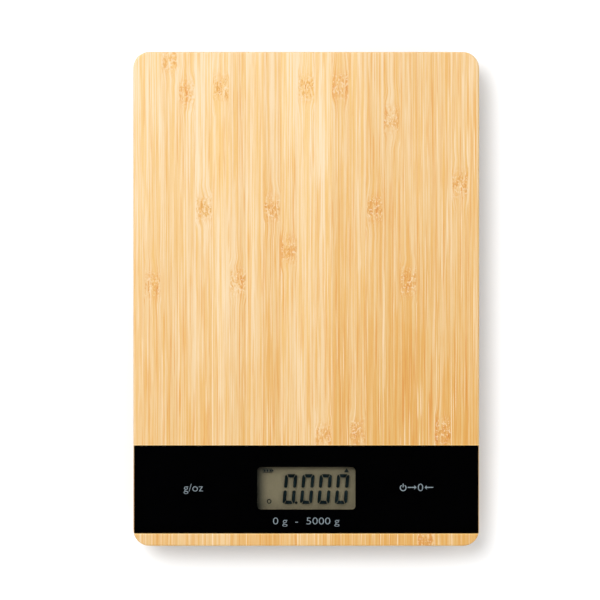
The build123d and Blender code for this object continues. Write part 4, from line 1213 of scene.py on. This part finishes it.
class SCALE_OT_add_load_cell(bpy.types.Operator):
    """Adds the load cell, its gauges and their sealant as smoothed copies of the CAD pieces"""

    bl_idname = "kitchen_scale.add_load_cell"
    bl_label = "Add the Load Cell"

    def execute(self, context):
        looks = {
            "load_cell": ("cell_aluminium", grained_material(
                "machined_aluminium", (0.78, 0.78, 0.8), (0.68, 0.68, 0.7), 0.32, 0.15, 0.12, 9.0,
                (1.0, 0.06, 1.0), relief=0.004, Metallic=1.0)),
            "strain_gauges": ("gauge_film", grained_material(
                "gauge_film", (0.62, 0.33, 0.08), (0.5, 0.24, 0.05), 0.35, 0.1, 0.2, 1.2, (1.0, 0.3, 1.0))),
            "gauge_sealant": ("sealant", grained_material(
                "white_sealant", (0.85, 0.85, 0.82), (0.78, 0.77, 0.73), 0.45, 0.15, 1.4, 4.0, relief=0.08)),
        }
        for name, (slot, material) in looks.items():
            piece = merged_copy(name, f"{name}_bending", material)
            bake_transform(piece)
            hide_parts(name)
        spacer = grained_material("cell_spacer", (0.55, 0.55, 0.56), (0.48, 0.48, 0.5), 0.4, 0.15, 0.15, 5.0,
                                  Metallic=1.0)
        dress(spacer, "cell_base_spacer", "cell_platform_spacer")
        return {"FINISHED"}


LEADS = {
    "cell_lead_red": "lead_red", "cell_lead_black": "lead_black", "cell_lead_white": "lead_white",
    "cell_lead_green": "lead_green", "battery_lead_red": "lead_red", "battery_lead_black": "lead_black",
}
LEAD_COLOURS = {
    "lead_red": (0.6, 0.03, 0.03), "lead_black": (0.02, 0.02, 0.02), "lead_white": (0.82, 0.82, 0.8),
    "lead_green": (0.03, 0.3, 0.08),
}


class SCALE_OT_add_leads(bpy.types.Operator):
    """Adds the leads to the circuit board as smoothed copies of the CAD pieces"""

    bl_idname = "kitchen_scale.add_leads"
    bl_label = "Add the Leads"

    def execute(self, context):
        made = {
            slot: grained_material(slot, shade, [c * 0.8 for c in shade], 0.42, 0.15, 0.2, 5.0, relief=0.004)
            for slot, shade in LEAD_COLOURS.items()
        }
        for name, slot in LEADS.items():
            lead = merged_copy(name, f"{name}_wire", made[slot])
            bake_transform(lead)
            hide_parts(name)
        return {"FINISHED"}


class SCALE_OT_finish_battery(bpy.types.Operator):
    """Gives the coin cell and its contacts their metals"""

    bl_idname = "kitchen_scale.finish_battery"
    bl_label = "Finish the Battery"

    def execute(self, context):
        steel = grained_material("cell_steel", (0.72, 0.72, 0.7), (0.62, 0.62, 0.6), 0.26, 0.18, 0.1, 6.0,
                                 (0.08, 1.0, 1.0), relief=0.002, Metallic=1.0)
        dress(steel, "coin_cell_can", "coin_cell_cap")
        dress(grained_material("cell_gasket", (0.25, 0.25, 0.25), (0.2, 0.2, 0.2), 0.55), "coin_cell_gasket")
        dress(grained_material("contact_plate", (0.68, 0.67, 0.64), (0.58, 0.57, 0.53), 0.25, 0.15, 0.12, 3.0,
                               (1.0, 0.1, 1.0), Metallic=1.0), "battery_contact_positive",
              "battery_contact_negative")
        return {"FINISHED"}


class SCALE_OT_finish_base(bpy.types.Operator):
    """Gives the base, its cover, the tray and the feet their plastic and rubber"""

    bl_idname = "kitchen_scale.finish_base"
    bl_label = "Finish the Base"

    def execute(self, context):
        settings = context.scene.scale_body
        size, height = settings.grain_size / MM, settings.grain_height / MM
        lighter = [c * 1.15 for c in settings.base]
        base = grained_material("base_plastic", settings.base, lighter, 0.5, 0.15, size, 30.0, relief=height,
                                dust=0.16)
        dress(base, "base_tray")
        cover = grained_material("cover_plastic", lighter, settings.base, 0.42, 0.15, size * 0.8, 12.0,
                                 relief=height * 0.7, dust=0.14)
        dress(cover, "battery_cover")
        tray_light = [c * 1.3 for c in settings.tray]
        tray = grained_material("tray_plastic", settings.tray, tray_light, 0.55, 0.1, size, 40.0,
                                relief=height)
        dress(tray, "platform_tray")
        rubber_light = [c * 1.5 for c in settings.rubber]
        rubber = grained_material("foot_rubber", settings.rubber, rubber_light, 0.78, 0.12, 0.25, 7.0,
                                  relief=0.02, dust=0.6, Specular_IOR_Level=0.35)
        dress(rubber, *[name for name in nodes if name.startswith("foot_")])
        return {"FINISHED"}


class SCALE_OT_set_stage(bpy.types.Operator):
    """Sets the floor, the lights and the camera"""

    bl_idname = "kitchen_scale.set_stage"
    bl_label = "Set the Stage"

    def execute(self, context):
        settings = context.scene.scale_stage
        scene = context.scene
        scene.view_settings.view_transform = "Standard"
        scene.view_settings.look = "None"
        scene.cycles.transparent_max_bounces = 24

        reach = 6.0
        corners = [(-reach, -reach, 0), (reach, -reach, 0), (reach, reach, 0), (-reach, reach, 0)]
        mesh = bpy.data.meshes.new("floor")
        mesh.from_pydata(corners, [], [(0, 1, 2, 3)])
        floor = new_piece("floor", mesh, floor_material(settings))

        lights = {
            "key_light": (settings.key_power, settings.key_size, (-0.80, 0.82, 2.0)),
            "side_light": (settings.side_power, settings.key_size, (1.3, -1.3, 1.6)),
        }
        for name, (power, size, place) in lights.items():
            light = bpy.data.lights.new(name, "AREA")
            light.energy = power
            light.shape = "SQUARE"
            light.size = size
            lamp = bpy.data.objects.new(name, light)
            scene.collection.objects.link(lamp)
            lamp.location = place
            lamp.rotation_mode = "QUATERNION"
            lamp.rotation_quaternion = (-lamp.location).to_track_quat("-Z", "Y")

        world = bpy.data.worlds.new("studio")
        scene.world = world
        world.use_nodes = True
        world.node_tree.nodes.clear()
        sheet = Sheet(world.node_tree)
        direction = sheet.add("ShaderNodeTexCoord").outputs["Generated"]
        up = sheet.split(direction)[2]
        bright_side = (-0.64, 0.64, 0.42)
        away = sheet.add("ShaderNodeVectorMath", {0: direction, 1: bright_side}, operation="DOT_PRODUCT")
        lean = sheet.fade(away.outputs["Value"], -0.6, 1.0, 0.75, 1.45)
        strength = sheet.math("MULTIPLY", sheet.fade(up, 0.95, 0.60, 0.0, settings.fill_strength), lean)
        glow = sheet.add("ShaderNodeBackground", {"Color": (1.0, 1.0, 1.0, 1.0), "Strength": strength})
        end = sheet.add("ShaderNodeOutputWorld")
        send(sheet, end, {"Surface": glow.outputs[0]})

        camera = bpy.data.cameras.new("camera")
        camera.lens = settings.focal_length
        camera.sensor_width = 36.0
        camera.clip_end = 50.0
        eye = bpy.data.objects.new("camera", camera)
        scene.collection.objects.link(eye)
        eye.location = (-0.0029, -0.0005, settings.camera_height)
        scene.camera = eye
        return {"FINISHED"}


OPERATORS = (
    SCALE_OT_finish_board, SCALE_OT_finish_strip, SCALE_OT_add_lettering, SCALE_OT_finish_display,
    SCALE_OT_add_segments, SCALE_OT_finish_circuit, SCALE_OT_add_springs, SCALE_OT_add_screws,
    SCALE_OT_add_load_cell, SCALE_OT_add_leads, SCALE_OT_finish_battery, SCALE_OT_finish_base,
    SCALE_OT_set_stage,
)
SETTINGS = {
    "scale_board": BoardSettings, "scale_strip": StripSettings, "scale_display": DisplaySettings,
    "scale_hardware": HardwareSettings, "scale_body": BodySettings, "scale_stage": StageSettings,
}


class SCALE_PT_pieces(bpy.types.Panel):
    """Lists the steps that build the scale"""

    bl_idname = "SCALE_PT_pieces"
    bl_label = "Kitchen Scale"
    bl_space_type = "VIEW_3D"
    bl_region_type = "UI"
    bl_category = "Scale"

    def draw(self, context):
        column = self.layout.column()
        for operator in OPERATORS:
            column.operator(operator.bl_idname)
        for name, group in SETTINGS.items():
            box = self.layout.box()
            box.label(text=group.__doc__)
            for setting in group.__annotations__:
                box.prop(getattr(context.scene, name), setting)


def register():
    for group in SETTINGS.values():
        bpy.utils.register_class(group)
    for name, group in SETTINGS.items():
        setattr(bpy.types.Scene, name, bpy.props.PointerProperty(type=group))
    for operator in OPERATORS:
        bpy.utils.register_class(operator)
    bpy.utils.register_class(SCALE_PT_pieces)


def unregister():
    bpy.utils.unregister_class(SCALE_PT_pieces)
    for operator in reversed(OPERATORS):
        bpy.utils.unregister_class(operator)
    for name in SETTINGS:
        delattr(bpy.types.Scene, name)
    for group in reversed(SETTINGS.values()):
        bpy.utils.unregister_class(group)


def main():
    register()
    for operator in OPERATORS:
        getattr(bpy.ops.kitchen_scale, operator.bl_idname.split(".")[1])()


if __name__ == "__main__":
    main()
